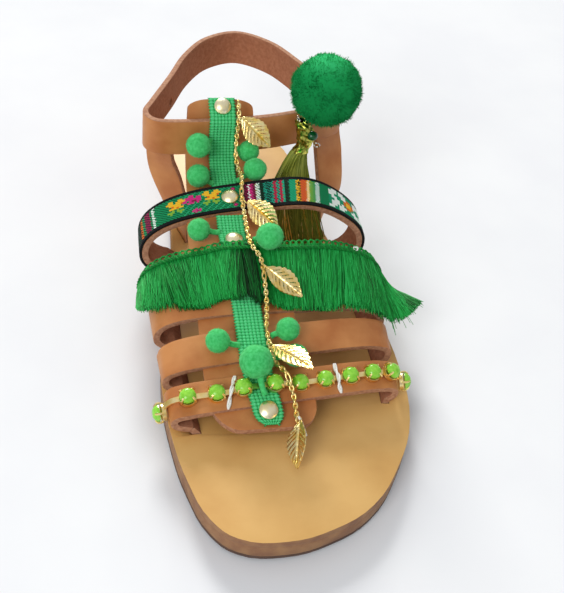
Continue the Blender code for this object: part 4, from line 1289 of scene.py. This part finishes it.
# the backing is dark green: painted shade deep inside the fringe
set_tones(backing.data, BACKING_PAINTED_SHADE + BACKING_PAINTED_SHADE * np.array(shades))
modified(backing, "SOLIDIFY", thickness=BACKING_WALL * MM, offset=1.0)
dressed(backing, rayon, "fringe_thread", "fringe", angle=80)

root = dice.uniform(*STRAY_ROOTS, STRAY_THREADS)
length = dice.uniform(*STRAY_LENGTHS, STRAY_THREADS)
starts = in_grid(fringe_face, root, np.zeros(STRAY_THREADS))
ends = in_grid(fringe_face, root, np.ones(STRAY_THREADS))
fall = np.linspace(0, 1, FRINGE_STEPS)[None, :, None]
sway = STRAY_SWAY * MM * dice.standard_normal((STRAY_THREADS, 1, 3)) * fall**2
paths = starts[:, None] + (ends - starts)[:, None] * fall * length[:, None, None] + sway
strays = threads("fringe_strays", paths, STRAY_THREAD * MM, STRAY_TONE)
strays.data.materials.append(rayon)
fitted(strays, "fringe_thread", "fringe")

loops = []
for i in range(HEADER_LOOPS):
    ends = (i + np.array(LOOP_FEET)) / HEADER_LOOPS
    foot_a, foot_b = in_grid(fringe_face, ends, np.full(2, LOOP_FOOT))
    top_a, top_b = in_grid(fringe_face, ends, np.zeros(2))
    rise = (top_a - foot_a) * LOOP_RISE
    peak = (top_a + top_b) / 2 + rise * LOOP_TOP
    shoulder_a = (foot_a + top_a) / 2 + LOOP_SHOULDER * rise
    shoulder_b = (foot_b + top_b) / 2 + LOOP_SHOULDER * rise
    side_a, side_b = top_a + LOOP_SIDE * rise, top_b + LOOP_SIDE * rise
    loops.append([foot_a, shoulder_a, side_a, peak, side_b, shoulder_b, foot_b])
loop_tones = dice.uniform(*LOOP_TONES, HEADER_LOOPS)
header_loops = threads("loops", loops, HEADER_THREAD * MM, loop_tones, HEADER_SIDES)
turns = np.linspace(0, 1, BRAID_STEPS)
inside = np.full(BRAID_STEPS, BRAID_DEPTH_PLACE)
outward = in_grid(fringe_face, turns, inside) - in_grid(fringe_back, turns, inside)
braids = []
for phase in (0.0, math.pi):
    twist = 2 * HEADER_LOOPS * math.pi * turns + phase
    base = in_grid(fringe_face, turns, BRAID_PLACE + BRAID_SWING * np.sin(twist))
    braids.append(base + outward * (BRAID_STAND[0] + BRAID_STAND[1] * np.cos(twist))[:, None])
braid = threads("braid", braids, HEADER_THREAD * MM, BRAID_TONES, HEADER_SIDES)
header = joined("fringe_header", [header_loops, braid])
dressed(header, rayon, "fringe_thread", "fringe", angle=80)


# Cup chain: eleven lime glass stones in pronged gold settings, soldered to a flat strip.
# It is sewn along the toe strap with white thread, and rides over the tape.
# places of the stones along the toe strap, from its medial slit
STONES = (16.2, 22.4, 32.2, 41.6, 52.4, 61.9, 71.0, 80.2, 88.3, 94.4, 98.0)
STONE_STATION = 57.0
STONE_RADIUS = 3.0
STONE_HEIGHT = 2.5
STONE_TABLE = 0.9
STONE_BACK = -0.02
CUP_RADIUS = 3.2
CUP_HEIGHT = 1.5
CUP_RIM = 0.12
CUP_HOLLOW = 0.35
CUP_EDGE = 0.05
CHAIN_ACROSS = 0.5
CHAIN_STRIP = 2.0
CHAIN_STRIP_THICKNESS = 0.7
CHAIN_GAP = 0.3
CHAIN_OVER_TAPE = 2.2
CHAIN_END_RISE = 2.8
CUP_LIFT = 0.1
CHAIN_STRIP_STEPS = (90, 2)
PRONG = 0.42
PRONG_SIDES = 6
PRONG_PATH = ((1.0, 0, 0.2), (1.06, 0, 0.8), (1.02, 0, 1.35), (0.86, 0, 1.75), (0.7, 0, 1.95))


def chain_lift(u, v):
    """Height of the cup chain's back over the last."""
    point = on_strap("toe_strap", u, v)
    off_tape = point.x / MM - middle_x(point.y / MM + SOLE_LENGTH / 2)
    over_tape = CHAIN_OVER_TAPE * math.exp(-((off_tape / TAPE_WIDTH) ** 6))
    return LEATHER + CHAIN_GAP + over_tape + CHAIN_END_RISE * abs(2 * u - 1) ** 3


def picked(piece, test):
    """Opens a piece in edit mode with only the faces selected that pass a test."""
    enter(piece)
    bpy.ops.mesh.select_mode(type="FACE")
    bpy.ops.mesh.select_all(action="DESELECT")
    bpy.ops.object.mode_set(mode="OBJECT")
    for face in piece.data.polygons:
        face.select = test(face)
    bpy.ops.object.mode_set(mode="EDIT")


# Plated brass, yellow gold: polished stampings with the faint waviness of pressed sheet
gold = new_material("gold_plated_brass", metallic=1.0, roughness=0.28)
mottled(gold, ("#F8D272", "#FFECB0"), 3.0)
grained(gold, 1.4, 0.04)
# Lime glass, opaque: bright yellow-green with small polished facets
lime_glass = new_material("opaque_lime_glass", roughness=0.2, ior=1.5)
mottled(lime_glass, ("#7ECC30", "#9ADE4A"), 1.2)

over_toe_strap = strap_surface("toe_strap", chain_lift)
toe_run = float(running(arch(STONE_STATION))[-1])
stone_shares = [at / toe_run for at in STONES]

bpy.ops.mesh.primitive_uv_sphere_add(segments=12, ring_count=10, radius=1)
cut_stone = bpy.context.object
enter(cut_stone)
bpy.ops.mesh.bisect(plane_co=(0, 0, STONE_BACK), plane_no=(0, 0, 1), use_fill=True, clear_inner=True)
bpy.ops.mesh.select_all(action="SELECT")
bpy.ops.mesh.bisect(plane_co=(0, 0, STONE_TABLE), plane_no=(0, 0, 1), use_fill=True, clear_outer=True)
leave()
stone_shape = shape_of(cut_stone)

bpy.ops.mesh.primitive_cylinder_add(vertices=16, radius=1, depth=1, location=(0, 0, 0.5))
cup = bpy.context.object
picked(cup, lambda face: face.normal.z > 0.9)
bpy.ops.mesh.inset(thickness=CUP_RIM, depth=0.0)
bpy.ops.mesh.extrude_region_move(TRANSFORM_OT_translate={"value": (0, 0, -CUP_HOLLOW)})
leave()
modified(cup, "BEVEL", width=CUP_EDGE, segments=2, limit_method="ANGLE", angle_limit=math.radians(40))
cup_shape = shape_of(cup)

cup_frames, prongs = [], []
for number, share in enumerate(stone_shares, 1):
    cup_frame = frame_on(over_toe_strap, share, CHAIN_ACROSS, CUP_LIFT, (CUP_RADIUS, CUP_RADIUS, CUP_HEIGHT))
    cup_frames.append(cup_frame)
    for quarter in range(4):
        turn = cup_frame @ Matrix.Rotation(math.radians(45 + 90 * quarter), 4, "Z")
        prongs.append([np.array(turn @ Vector(point)) for point in PRONG_PATH])
    size = (STONE_RADIUS, STONE_RADIUS, STONE_HEIGHT)
    stone_frame = frame_on(over_toe_strap, share, CHAIN_ACROSS, CUP_HEIGHT + CUP_LIFT, size)
    stone = repeated(f"lime_stone_{number:02d}", stone_shape, [stone_frame])
    dressed(stone, lime_glass, "lime_stone", f"stone_{number:02d}", angle=24)
cups = repeated("cups", cup_shape, cup_frames)
prong_wire = threads("prongs", prongs, PRONG * MM, sides=PRONG_SIDES)


def strip_surface(u, v):
    share = stone_shares[0] + (stone_shares[-1] - stone_shares[0]) * u
    toe_width = STRAPS["toe_strap"][4] - STRAPS["toe_strap"][1]
    return over_toe_strap(share, CHAIN_ACROSS + CHAIN_STRIP / toe_width * (v - 0.5))


bars = strip("bars", strip_surface, *CHAIN_STRIP_STEPS)
modified(bars, "SOLIDIFY", thickness=CHAIN_STRIP_THICKNESS * MM, offset=1.0)
settings = joined("stone_settings", [cups, prong_wire, bars])
dressed(settings, gold, "gold_plate", "stone_chain", angle=35)


# Leaf chain: a gold curb chain that hangs from the top rivet down the outer edge of the tape to the toe.
# One link in every thirteen is long. It is caught by a few stitches, and five stamped leaves hang from it.
# station, sideways place and height
LEAF_CHAIN = (
    (167.2, -6.2, 69.2),
    (161.0, -6.6, 65.0),
    (158.8, -7.2, 57.5),
    (153.6, -8.0, 51.8),
    (149.0, -7.4, 48.4),
    (142.8, -7.0, 48.4),
    (135.4, -8.0, 46.6),
    (127.4, -8.2, 43.8),
    (117.1, -8.4, 42.6),
    (109.0, -8.4, 42.6),
    (101.6, -5.4, 40.6),
    (89.4, -5.4, 36.6),
    (83.0, -5.8, 33.2),
    (76.0, -6.8, 30.6),
    (71.6, -6.8, 29.4),
    (67.2, -6.8, 28.2),
    (61.4, -5.8, 27.4),
    (56.6, -3.0, 27.0),
    (51.6, -1.4, 23.8),
    (47.6, -0.8, 21.0),
    (42.0, -0.9, 18.8),
)
LINK_PITCH = 1.55
LINK_RADIUS = 0.74
LINK_WIRE = 0.36
LINK_STRETCH = 1.4
LINK_TURN = 38
LINK_TWIST = 75
LONG_LINK_EVERY = 13
LONG_LINK = 1.9
CHAIN_FACE = (0.0, -0.55, 0.83)
CHAIN_SAMPLES = 600

bpy.ops.mesh.primitive_torus_add(
    major_segments=16, minor_segments=6, major_radius=LINK_RADIUS, minor_radius=LINK_WIRE
)
link = bpy.context.object
enter(link)
bpy.ops.transform.resize(value=(LINK_STRETCH, 1.0, 1.0), center_override=(0, 0, 0))
leave()
link_shape = shape_of(link)
chain_points = np.array([place(*along(LEAF_CHAIN, t)) for t in np.linspace(0, 1, CHAIN_SAMPLES)])
chain_run = running(chain_points)


def chain_place(at):
    return Vector([float(np.interp(at, chain_run, chain_points[:, k])) for k in range(3)])


links, at, number = [], LINK_PITCH * MM, 0
while at < chain_run[-1]:
    number += 1
    long = LONG_LINK if number % LONG_LINK_EVERY == 0 else 1.0
    run = (chain_place(at + MM) - chain_place(at - MM)).normalized()
    cross = Vector(CHAIN_FACE).cross(run).normalized()
    turned = Matrix((run, cross, run.cross(cross))).transposed().to_4x4()
    turned.translation = chain_place(at)
    twist = Matrix.Rotation(math.radians(LINK_TURN + LINK_TWIST * (number % 2)), 4, "X")
    links.append(turned @ twist @ Matrix.Diagonal((long * MM, MM, MM, 1)))
    after = LONG_LINK if (number + 1) % LONG_LINK_EVERY == 0 else 1.0
    at += LINK_PITCH * (long + after) / 2 * MM
leaf_chain = repeated("gold_curb_chain", link_shape, links)
dressed(leaf_chain, gold, "gold_plate", "leaf_chain", angle=70)


# Leaves: five leaves stamped from thin brass with a midrib, side veins and slits between them, plated gold.
# Each hangs from a link of the chain by a small ring.
# share of the chain at the root, the root's place off the chain, tip (station, sideways, height), broad side
LEAVES = (
    (0.055, (0.8, -1.15, 1.3), (153.4, 5.6, 55.6), (0.7, 0.35, 0.6)),
    (0.33, (1.7, -1.15, 1.9), (121.3, 4.6, 39.9), (0.71, 0.31, 0.5)),
    (0.515, (0.8, -1.15, 1.3), (87.0, 8.0, 34.4), (0.78, 0.62, 0.1)),
    (0.735, (0.8, -1.15, 1.3), (50.3, 4.1, 35.2), (0.86, 0.51, -0.03)),
    (1.0, (0.8, -1.15, 1.3), (26.4, -3.2, 12.4), (0.5, -0.15, 0.85)),
)
LEAF_HALF_WIDTH = 4.7
LEAF_FULLNESS = 0.95
LEAF_THICKNESS = 0.4
LEAF_STALK = 0.3
LEAF_FOLD = 0.6
LEAF_CUP = 0.5
LEAF_VEINS = 9
LEAF_SLANT = 0.24
VEIN_HEIGHT = 0.2
VEIN_WIDTH = 0.16
MIDRIB_HEIGHT = 0.45
MIDRIB_WIDTH = 0.09
LEAF_NOTCH = 0.07
LEAF_STEPS = (81, 28)
SLIT_RUN = (0.16, 0.86)
SLIT_ACROSS = (0.22, 0.66)
SLIT_PHASE = (0.93, 0.10)
RING_RADIUS = 1.25
RING_WIRE = 0.24


def vein_phase(u, across):
    """Place between one side vein of a leaf and the next, from 0 to 1 with the vein at a half."""
    return (LEAF_VEINS * (u - LEAF_SLANT * abs(across))) % 1.0


def in_slit(u, across):
    phase = vein_phase(u, across)
    between = phase > SLIT_PHASE[0] or phase < SLIT_PHASE[1]
    return between and SLIT_RUN[0] < u < SLIT_RUN[1] and SLIT_ACROSS[0] < abs(across) < SLIT_ACROSS[1]


bpy.ops.mesh.primitive_torus_add(
    major_segments=24, minor_segments=8, major_radius=RING_RADIUS, minor_radius=RING_WIRE
)
ring_shape = shape_of(bpy.context.object)
for number, (share, root, tip, broad) in enumerate(LEAVES, 1):
    link_place, end = place(*along(LEAF_CHAIN, share)), place(*tip)
    start = link_place + Vector(root) * MM
    stem = end - start
    side = Vector(broad)
    side = (side - side.project(stem)).normalized()
    face_way = stem.normalized().cross(side)

    def leaf_surface(u, v):
        across = 2 * v - 1
        notch = 1 - LEAF_NOTCH * (0.5 - 0.5 * math.cos(2 * math.pi * LEAF_VEINS * u)) * abs(across) ** 4
        half = (LEAF_HALF_WIDTH * abs(math.sin(math.pi * u**LEAF_FULLNESS)) + LEAF_STALK) * notch
        cup = LEAF_FOLD * abs(across) * half / LEAF_HALF_WIDTH + LEAF_CUP * math.sin(math.pi * u)
        off_vein = (vein_phase(u, across) - 0.5) / VEIN_WIDTH
        ridge = VEIN_HEIGHT * math.exp(-(off_vein**2)) * min(1.0, half / 2)
        midrib = MIDRIB_HEIGHT * math.exp(-((across / MIDRIB_WIDTH) ** 2))
        return start + stem * u + (half * across * side + (cup - max(ridge, midrib)) * face_way) * MM

    leaf = strip("leaf", leaf_surface, *LEAF_STEPS)

    def slit_face(face):
        u, v = face_uv(leaf, face)
        return in_slit(u, 2 * v - 1)

    picked(leaf, slit_face)
    bpy.ops.mesh.delete(type="FACE")
    leave()
    modified(leaf, "SOLIDIFY", thickness=LEAF_THICKNESS * MM, offset=0.0)
    hoop = Matrix((stem.normalized(), face_way, side)).transposed().to_4x4()
    hoop.translation = (link_place + start) / 2
    ring = repeated("ring", ring_shape, [hoop @ Matrix.Scale(MM, 4)])
    whole = joined(f"stamped_leaf_{number}", [leaf, ring])
    dressed(whole, gold, "gold_plate", f"leaf_{number}", angle=60)


# Ankle pom-pom: a large ball of cut acrylic yarn, tied and clipped round, sewn on the outer end of the loop.
# Its cut yarn ends open to a soft short fur.
ANKLE_POMPOM_CENTRE = (165.0, 29.0, 74.7)
ANKLE_POMPOM_RADIUS = 14.4
POMPOM_STRANDS = 11500
POMPOM_CORE = 0.98
# share of the radius and share of the lean at three places of each strand, and its thickness there
STRAND_STEPS = ((0.9, 0.0), (0.965, 0.4), (1.0, 1.0))
STRAND_RADII = (0.16, 0.13, 0.06)
# paces at which tufts and the lean of the strands change round the ball
TUFT_PACE = 5.0
LEAN_PACE = 3.0
LEAN = 0.8
STRAND_SHAKE = 0.5
# mean reach of the strands as a share of the radius, and what tufts and chance add to it
STRAND_REACH = (0.99, 0.012, 0.008)
# tone round the sides, the painted light the crown adds and how steeply, then painted shade of tufts, and
# chance
CROWN_PAINTED_LIGHT = (0.24, 0.75, 3)
TUFT_PAINTED_SHADE = 0.15
CHANCE_TONE = 0.12

# Acrylic yarn, cut: saturated green and soft, with painted shade between the tufts and painted light on the
# crown
acrylic = new_material("cut_acrylic_yarn", roughness=0.95, specular_ior_level=0.05)
toned(acrylic, ("#0E7038", "#1B9650", "#38C074"))
grained(acrylic, 0.8, 0.12)


def tone_with_painted_crown_light(height):
    """Tone of the yarn, with painted light on the crown that makes it lighter than round the sides."""
    side_tone, painted_top_light, steepness = CROWN_PAINTED_LIGHT
    return side_tone + painted_top_light * np.clip(height, 0, 1) ** steepness


rays = around(POMPOM_STRANDS)
centre = np.array(place(*ANKLE_POMPOM_CENTRE))
tuft = np.array([noise.noise(Vector(ray * TUFT_PACE)) for ray in rays])[:, None]
lean = LEAN * np.array([noise.noise_vector(Vector(ray * LEAN_PACE)) for ray in rays])
mean, by_tuft, by_chance = STRAND_REACH
reach = mean + by_tuft * tuft + by_chance * dice.standard_normal((POMPOM_STRANDS, 1))
reach = ANKLE_POMPOM_RADIUS * reach
shake = STRAND_SHAKE * dice.standard_normal((POMPOM_STRANDS, 3))
steps = [centre + (rays * reach * s + (lean + shake) * k) * MM for s, k in STRAND_STEPS]
# painted light on the crown and painted shade between the tufts
tones = tone_with_painted_crown_light(rays[:, 2]) + TUFT_PAINTED_SHADE * tuft[:, 0] + CHANCE_TONE * dice.standard_normal(POMPOM_STRANDS)
fur = threads("fur", np.stack(steps, axis=1), MM * np.array([STRAND_RADII]), tones)
bpy.ops.mesh.primitive_ico_sphere_add(subdivisions=4, radius=POMPOM_CORE * ANKLE_POMPOM_RADIUS * MM)
core = bpy.context.object
core.data.transform(Matrix.Translation(Vector(centre)))
# the core carries the same painted light on its crown
set_tones(core.data, [tone_with_painted_crown_light((vert.co - Vector(centre)).normalized().z) for vert in core.data.vertices])
pompom = joined("ankle_pompom_fur", [fur, core])
dressed(pompom, acrylic, "pompom_yarn", "ankle_pompom", angle=80)


# Tassel: olive rayon threads folded over a cord, its head wrapped in crushed tinsel, hung under the pom-pom.
# Its skirt falls inside the woven strap to the insole, with gold tinsel among the ends of the threads.
# station, sideways place, height, sideways radius, fore-and-aft radius
TASSEL = (
    (165.6, 20.6, 60.6, 1.6, 1.6),
    (165.4, 21.4, 58.4, 2.9, 2.9),
    (164.4, 23.2, 54.0, 3.6, 3.4),
    (163.4, 22.2, 50.0, 2.6, 2.6),
    (161.6, 19.6, 44.5, 4.2, 3.6),
    (157.8, 18.0, 34.0, 8.0, 4.4),
    (153.6, 19.0, 22.0, 11.2, 4.4),
    (149.6, 20.6, 10.2, 13.2, 4.0),
)
TASSEL_THREADS = 1300
TASSEL_THREAD = 0.19
TASSEL_STEPS = 14
THREAD_SPREAD = (0.15, 1)
SKIRT_SWING = 0.35
SKIRT_RAGGED = 0.9
# painted shade in the middle of the skirt, the painted light that its outside adds, and what chance adds
SKIRT_PAINTED_LIGHT_AND_SHADE = (0.05, 0.6, 0.2)
SKIRT_FROM = 5
TINSEL_FROM = 10
TINSEL = 260
TINSEL_THREAD = 0.17
WRAP_SHARE = 0.5
WRAP_STEPS = (48, 40)
WRAP_CRUSH = 0.75
WRAP_FOLDS = (2.2, 9)
WRAP_WALL = 0.2
WRAP_STAND = 0.35
BEAD = (161.6, 24.9, 55.4)
BEAD_RADIUS = 2.3
BEAD_FLAT = 0.85
# place of each wire ring (station, sideways, height), and the way through it
TASSEL_RINGS = (((164.6, 18.9, 61.6), (0.9, 0.3, 0.3)), ((162.3, 27.6, 50.4), (0.3, 0.9, 0.3)))

# Olive rayon: silky, brown-green with painted shade inside the skirt, yellow-green with painted light outside
olive = new_material("olive_rayon_thread", roughness=0.45, specular_ior_level=0.3)
toned(olive, ("#46581A", "#78862E", "#AEB44E"))
# Crushed tinsel: thin green-gold foil that flashes from dark green to yellow
tinsel_foil = new_material("green_gold_tinsel", metallic=1.0, roughness=0.28)
mottled(tinsel_foil, ("#2E6A16", "#E4DA6A"), 1.4, 3.0)
grained(tinsel_foil, 0.9, 0.12)
# Green glass: nearly black, with one clear highlight
bead_glass = new_material("dark_green_glass", roughness=0.08, ior=1.5)
mottled(bead_glass, ("#06381A", "#0B5428"), 2.0)
# Nickel wire: white and bright
nickel = new_material("nickel_wire", metallic=1.0, roughness=0.2)
mottled(nickel, ("#D6D6D2", "#EFEFEC"), 1.0)
tassel_rows = np.array([along(TASSEL, t) for t in np.linspace(0, 1, TASSEL_STEPS)])


def tassel_paths(count, start_row):
    """Paths of threads in the tassel, from a row to the ends of its skirt."""
    turn = dice.uniform(0, 2 * math.pi, count)
    share = np.sqrt(dice.uniform(*THREAD_SPREAD, count))
    part = tassel_rows[start_row:]
    fall = np.linspace(0, 1, len(part))
    swing = turn[:, None] + SKIRT_SWING * dice.standard_normal((count, 1)) * fall
    wide, deep = part[:, 3] * share[:, None], part[:, 4] * share[:, None]
    x = part[:, 1] + wide * np.cos(swing)
    station = part[:, 0] + deep * np.sin(swing)
    z = part[:, 2] + SKIRT_RAGGED * dice.standard_normal((count, 1)) * fall
    return np.stack([x, station - SOLE_LENGTH / 2, z], axis=-1) * MM, share


paths, share = tassel_paths(TASSEL_THREADS, SKIRT_FROM)
painted_inner_shade, painted_outer_light, chance = SKIRT_PAINTED_LIGHT_AND_SHADE
# painted shade on the inner threads of the skirt and painted light on the outer ones
tones = painted_inner_shade + painted_outer_light * share + chance * dice.standard_normal(TASSEL_THREADS)
skirt = threads("tassel_skirt", paths, TASSEL_THREAD * MM, tones)
dressed(skirt, olive, "tassel_thread", "tassel", angle=80)
tinsel_paths, share = tassel_paths(TINSEL, TINSEL_FROM)
tinsel = threads("tassel_tinsel", tinsel_paths, TINSEL_THREAD * MM, share)
tinsel.data.materials.append(gold)
fitted(tinsel, "gold_plate", "tassel")


def wrap_surface(u, v):
    """Crushed foil round the head and neck of the tassel."""
    station, x, z, wide, deep = along(TASSEL, WRAP_SHARE * v)
    turn = 2 * math.pi * (u % 1.0)
    folds_round, folds_down = WRAP_FOLDS
    spot = (folds_round * math.cos(turn), folds_round * math.sin(turn), folds_down * v)
    stand = WRAP_STAND + WRAP_CRUSH * noise.noise(Vector(spot))
    return place(station + (deep + stand) * math.sin(turn), x + (wide + stand) * math.cos(turn), z)


wrap = strip("tassel_wrap", wrap_surface, *WRAP_STEPS)
enter(wrap)
bpy.ops.mesh.remove_doubles(threshold=MERGE * MM)
bpy.ops.mesh.normals_make_consistent(inside=False)
leave()
modified(wrap, "SOLIDIFY", thickness=WRAP_WALL * MM, offset=-1.0)
dressed(wrap, tinsel_foil, "tassel_thread", "tassel", angle=30)
bpy.ops.mesh.primitive_uv_sphere_add(segments=24, ring_count=16, radius=BEAD_RADIUS * MM)
bead = bpy.context.object
bead.name = bead.data.name = "tassel_bead"
bead.data.transform(Matrix.Translation(place(*BEAD)) @ Matrix.Diagonal((1, 1, BEAD_FLAT, 1)))
dressed(bead, bead_glass, "lime_stone", "tassel", angle=80)
ring_frames = []
for ring_place, way in TASSEL_RINGS:
    hoop = Vector((0, 0, 1)).rotation_difference(Vector(way)).to_matrix().to_4x4()
    hoop.translation = place(*ring_place)
    ring_frames.append(hoop @ Matrix.Scale(MM, 4))
rings = repeated("tassel_rings", ring_shape, ring_frames)
dressed(rings, nickel, "gold_plate", "tassel", angle=70)


# White sewing thread: the ties that hold the cup chain, the leaf chain and the ends of the fringe.
# Each is one or two turns of plain cotton pulled tight, or a knot with its ends cut.
# share of the toe strap, and the slant of the tie
CHAIN_TIES = ((0.338, 0.04), (0.686, -0.015))
TIE_RADIUS = 0.42
TIE_TWIST = 0.4
TIE_TURNS = 9.0
TIE_STAND = 1.5
TIE_SHOULDER = 0.2
TIE_DROP = 1.4
TIE_STEPS = 25
TIE_SIDES = 8
LEAF_TIE = ((42.0, -0.6, 20.6), (40.6, 0.4, 19.0), (39.4, 1.3, 16.8), (38.2, 2.1, 14.6))
# share of the fringe's header and size of each knot
FRINGE_KNOTS = ((0.83, 1.0), (0.02, 0.8))
KNOT_RADIUS = 0.26
KNOT_PLACE = 0.03
KNOT_STEPS = 40
KNOT_SIDES = 6

# Cotton thread: dull white
cotton = new_material("white_cotton_thread", roughness=0.9, specular_ior_level=0.2)
mottled(cotton, ("#E9E8E2", "#FAF9F5"), 0.8)


def tied(share, slant, phase):
    """Path of one turn of a tie over the cup chain, from one edge of the toe strap to the other."""
    path = []
    for v in np.linspace(0.0, 1.0, TIE_STEPS):
        over = TIE_STAND * math.exp(-(((v - 0.5) / TIE_SHOULDER) ** 4)) - TIE_DROP * abs(2 * v - 1) ** 4
        over += TIE_TWIST * math.cos(TIE_TURNS * v + phase)
        lift = max(chain_lift(share, CHAIN_ACROSS) + over, LEATHER + TIE_RADIUS)
        aside = TIE_TWIST / toe_run * math.sin(TIE_TURNS * v + phase)
        path.append(np.array(strap_surface("toe_strap", lift)(share + slant * (v - 0.5) + aside, v)))
    return path


def knotted(centre, size):
    """Path of a thread that is tied in a small knot."""
    path = []
    for t in np.linspace(0, 2 * math.pi, KNOT_STEPS):
        path.append(centre + size * MM * np.array((math.sin(3 * t), math.cos(2 * t), math.sin(2 * t + 1))))
    return path


turns = [tied(*tie, phase) for tie in CHAIN_TIES for phase in (0.0, math.pi)]
ties = threads("ties", turns, TIE_RADIUS * MM, sides=TIE_SIDES)
leaf_tie_path = [np.array(place(*point)) for point in LEAF_TIE]
leaf_tie = threads("leaf_tie", [leaf_tie_path], TIE_RADIUS * MM, sides=TIE_SIDES)
knot_paths = []
for at, size in FRINGE_KNOTS:
    knot_paths.append(knotted(in_grid(fringe_face, np.array([at]), np.array([KNOT_PLACE]))[0], size))
knots = threads("knots", knot_paths, KNOT_RADIUS * MM, sides=KNOT_SIDES)
white_ties = joined("white_ties", [ties, leaf_tie, knots])
dressed(white_ties, cotton, "fringe_thread", angle=80)


# Studio: a pale seamless floor, soft light from a large box behind and one at the left, and the camera.
# The camera stands where the picture was taken from, and is turned to the one shoe.
CAMERA_PLACE = (-0.0718, -0.2853, 0.2655)
CAMERA_AIM = (0.0114, 0.0018, 0.0)
CAMERA_ROLL = 8.35
CAMERA_FOCUS_PIXELS = 951.0
PICTURE_HEIGHT = 593.0
SENSOR = 36.0
# height of the sky's direction from 0, straight down, to 1, straight up, with its brightness
SKY = ((0.45, "#A4A8AE"), (0.62, "#D6D9DE"), (0.85, "#FFFFFF"))
SKY_STRENGTH = 0.58
FLOOR_SIZE = 6
# name of each soft box, its place, what it is turned to, its size, power and colour
SOFT_BOXES = (
    ("rear_box", (0.0, 5.0, 2.7), (0, 0, 0), 1.75, 300.0, "#FFFDF8"),
    ("left_box", (-1.2, -1.3, 1.2), (0, 0, 0.03), 0.9, 19.0, "#FFFFFF"),
)

# Matt paper floor: almost white and faintly cool
paper = new_material("matt_paper_floor", roughness=0.9, specular_ior_level=0.1)
mottled(paper, ("#E4E6EA", "#E8EAED"), 60.0)
bpy.ops.mesh.primitive_plane_add(size=FLOOR_SIZE)
floor = bpy.context.object
floor.name = "paper_floor"
floor.data.materials.append(paper)

for name, spot, aim, size, power, colour in SOFT_BOXES:
    lamp = bpy.data.lights.new(name, "AREA")
    lamp.size = size
    lamp.energy = power
    lamp.color = linear(colour)[:3]
    box = linked(name, lamp)
    box.location = spot
    box.rotation_euler = (Vector(aim) - Vector(spot)).to_track_quat("-Z", "Y").to_euler()
world = bpy.context.scene.world or bpy.data.worlds.new("studio")
bpy.context.scene.world = world
world.use_nodes = True
tree = world.node_tree
coords = add(tree, "TexCoord")
parts = add(tree, "SeparateXYZ", links={"Vector": coords.outputs["Generated"]})
rise = add(tree, "MapRange", {"From Min": -1.0, "From Max": 1.0}, {"Value": parts.outputs["Z"]})
sky = add(tree, "ValToRGB", links={"Fac": rise.outputs["Result"]})
set_stops(sky, SKY)
tree.links.new(sky.outputs["Color"], tree.nodes["Background"].inputs["Color"])
tree.nodes["Background"].inputs["Strength"].default_value = SKY_STRENGTH

lens = bpy.data.cameras.new("studio_camera")
lens.sensor_fit = "VERTICAL"
lens.sensor_height = SENSOR
lens.lens = CAMERA_FOCUS_PIXELS * SENSOR / PICTURE_HEIGHT
lens.clip_start = 0.01
camera = linked("studio_camera", lens)
camera.location = CAMERA_PLACE
look = (Vector(CAMERA_AIM) - Vector(CAMERA_PLACE)).to_track_quat("-Z", "Y").to_matrix().to_4x4()
camera.rotation_euler = (look @ Matrix.Rotation(math.radians(CAMERA_ROLL), 4, "Z")).to_euler()
bpy.context.scene.camera = camera
bpy.context.scene.view_settings.view_transform = "Standard"
